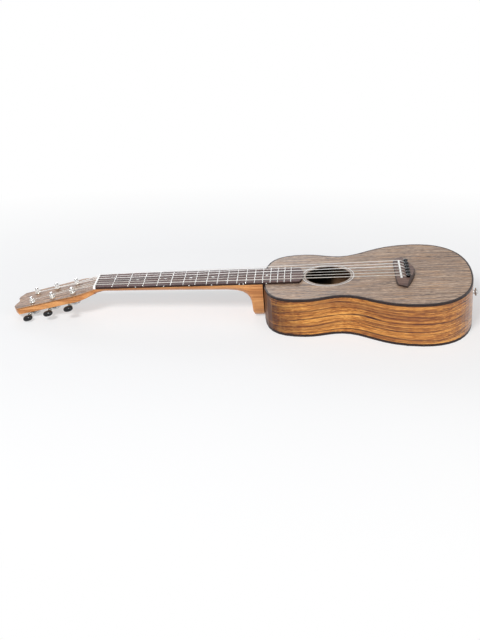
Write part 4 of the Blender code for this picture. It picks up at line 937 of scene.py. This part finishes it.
def make_floor():
    """A wide pale floor that keeps the shadow and fades to plain white further out."""
    bm = bmesh.new()
    bmesh.ops.create_grid(bm, x_segments=1, y_segments=1, size=FLOOR_HALF,
                          matrix=Matrix.Translation((0, 0, FLOOR_Z)))
    mesh = bpy.data.meshes.new("floor")
    bm.to_mesh(mesh)
    bm.free()
    look = Look("pale_floor", Roughness=0.9, Specular_IOR_Level=0.1)
    cloud = look.cloud(look.place, scale=3.0, detail=2.0)
    look.give(Base_Color=cloud.tint((0.3, (0.86, 0.86, 0.87)), (0.7, (0.88, 0.88, 0.885))))
    x, y, _ = look.axes()
    x = (x + OVAL_FORWARD) / OVAL_HALF_LENGTH
    y = y / OVAL_HALF_WIDTH
    away = (x * x + y * y).math("SQRT").ramp(*OVAL_FADE, 0.5, 1.0)
    white = look.node("Emission", inputs={"Color": WHITE, "Strength": 1.0})
    shader = Value(look, look.shader.outputs[0])
    blended = look.node("MixShader", inputs={0: away * seen(look), 1: shader, 2: white})
    look.fill(look.tree.nodes["Material Output"].inputs["Surface"], blended)
    mesh.materials.append(look.material)
    add_object("floor", mesh)


def make_world():
    """Even light from all round, which looks plain white where it is seen."""
    world = bpy.data.worlds.new("studio")
    bpy.context.scene.world = world
    world.use_nodes = True
    nodes = Nodes(world.node_tree)
    light = nodes.node("Background", inputs={"Color": (0.94, 0.96, 1.0), "Strength": 0.30})
    white = nodes.node("Background", inputs={"Color": WHITE, "Strength": 1.0})
    chosen = nodes.node("MixShader", inputs={0: seen(nodes), 1: light, 2: white})
    nodes.fill(nodes.tree.nodes["World Output"].inputs["Surface"], chosen)


# The photograph's view, in the neck's frame
CAMERA_PLACE = Vector((0.33318, -1.31129, 0.57704))
CAMERA_AZIMUTH = math.radians(-5.70873)
CAMERA_ELEVATION = math.radians(26.04048)
CAMERA_ROLL = math.radians(-4.16188)
FOCAL_PIXELS = 999.90
IMAGE_HEIGHT = 640
SENSOR = 36.0
CLIP_START = 0.05


def make_camera():
    """A camera at the photograph's place, with its turn and its lens."""
    turn = NECK_MATRIX.to_3x3()
    level = math.cos(CAMERA_ELEVATION)
    ahead = turn @ Vector((math.sin(CAMERA_AZIMUTH) * level, math.cos(CAMERA_AZIMUTH) * level,
                           -math.sin(CAMERA_ELEVATION)))
    right = ahead.cross(turn @ Vector((0, 0, 1))).normalized()
    up = right.cross(ahead)
    right, up = (right * math.cos(CAMERA_ROLL) + up * math.sin(CAMERA_ROLL),
                 up * math.cos(CAMERA_ROLL) - right * math.sin(CAMERA_ROLL))
    data = bpy.data.cameras.new("camera")
    data.sensor_width = SENSOR
    data.lens = FOCAL_PIXELS * SENSOR / IMAGE_HEIGHT
    data.clip_start = CLIP_START
    camera = add_object("camera", data)
    basis = Matrix((right, up, -ahead)).transposed().to_4x4()
    camera.matrix_world = Matrix.Translation(NECK_MATRIX @ CAMERA_PLACE) @ basis
    bpy.context.scene.camera = camera


make_floor()
make_world()
make_camera()
area_light("window_behind", place=(-0.9, 2.3, 1.0), target=(-0.2, 0, 0.05), size=(1.6, 0.8), power=18,
           colour=(0.86, 0.93, 1.0))
area_light("key_front", place=(-0.85, -1.75, 1.85), target=(-0.15, 0, 0.03), size=(0.6, 0.6), power=50)
area_light("window_right", place=(2.0, -1.7, 0.9), target=(0.05, 0, 0.03), size=(1.4, 1.2), power=20,
           colour=(1.0, 0.98, 0.95))
bpy.context.scene.view_settings.view_transform = "Standard"

bpy.context.view_layer.update()
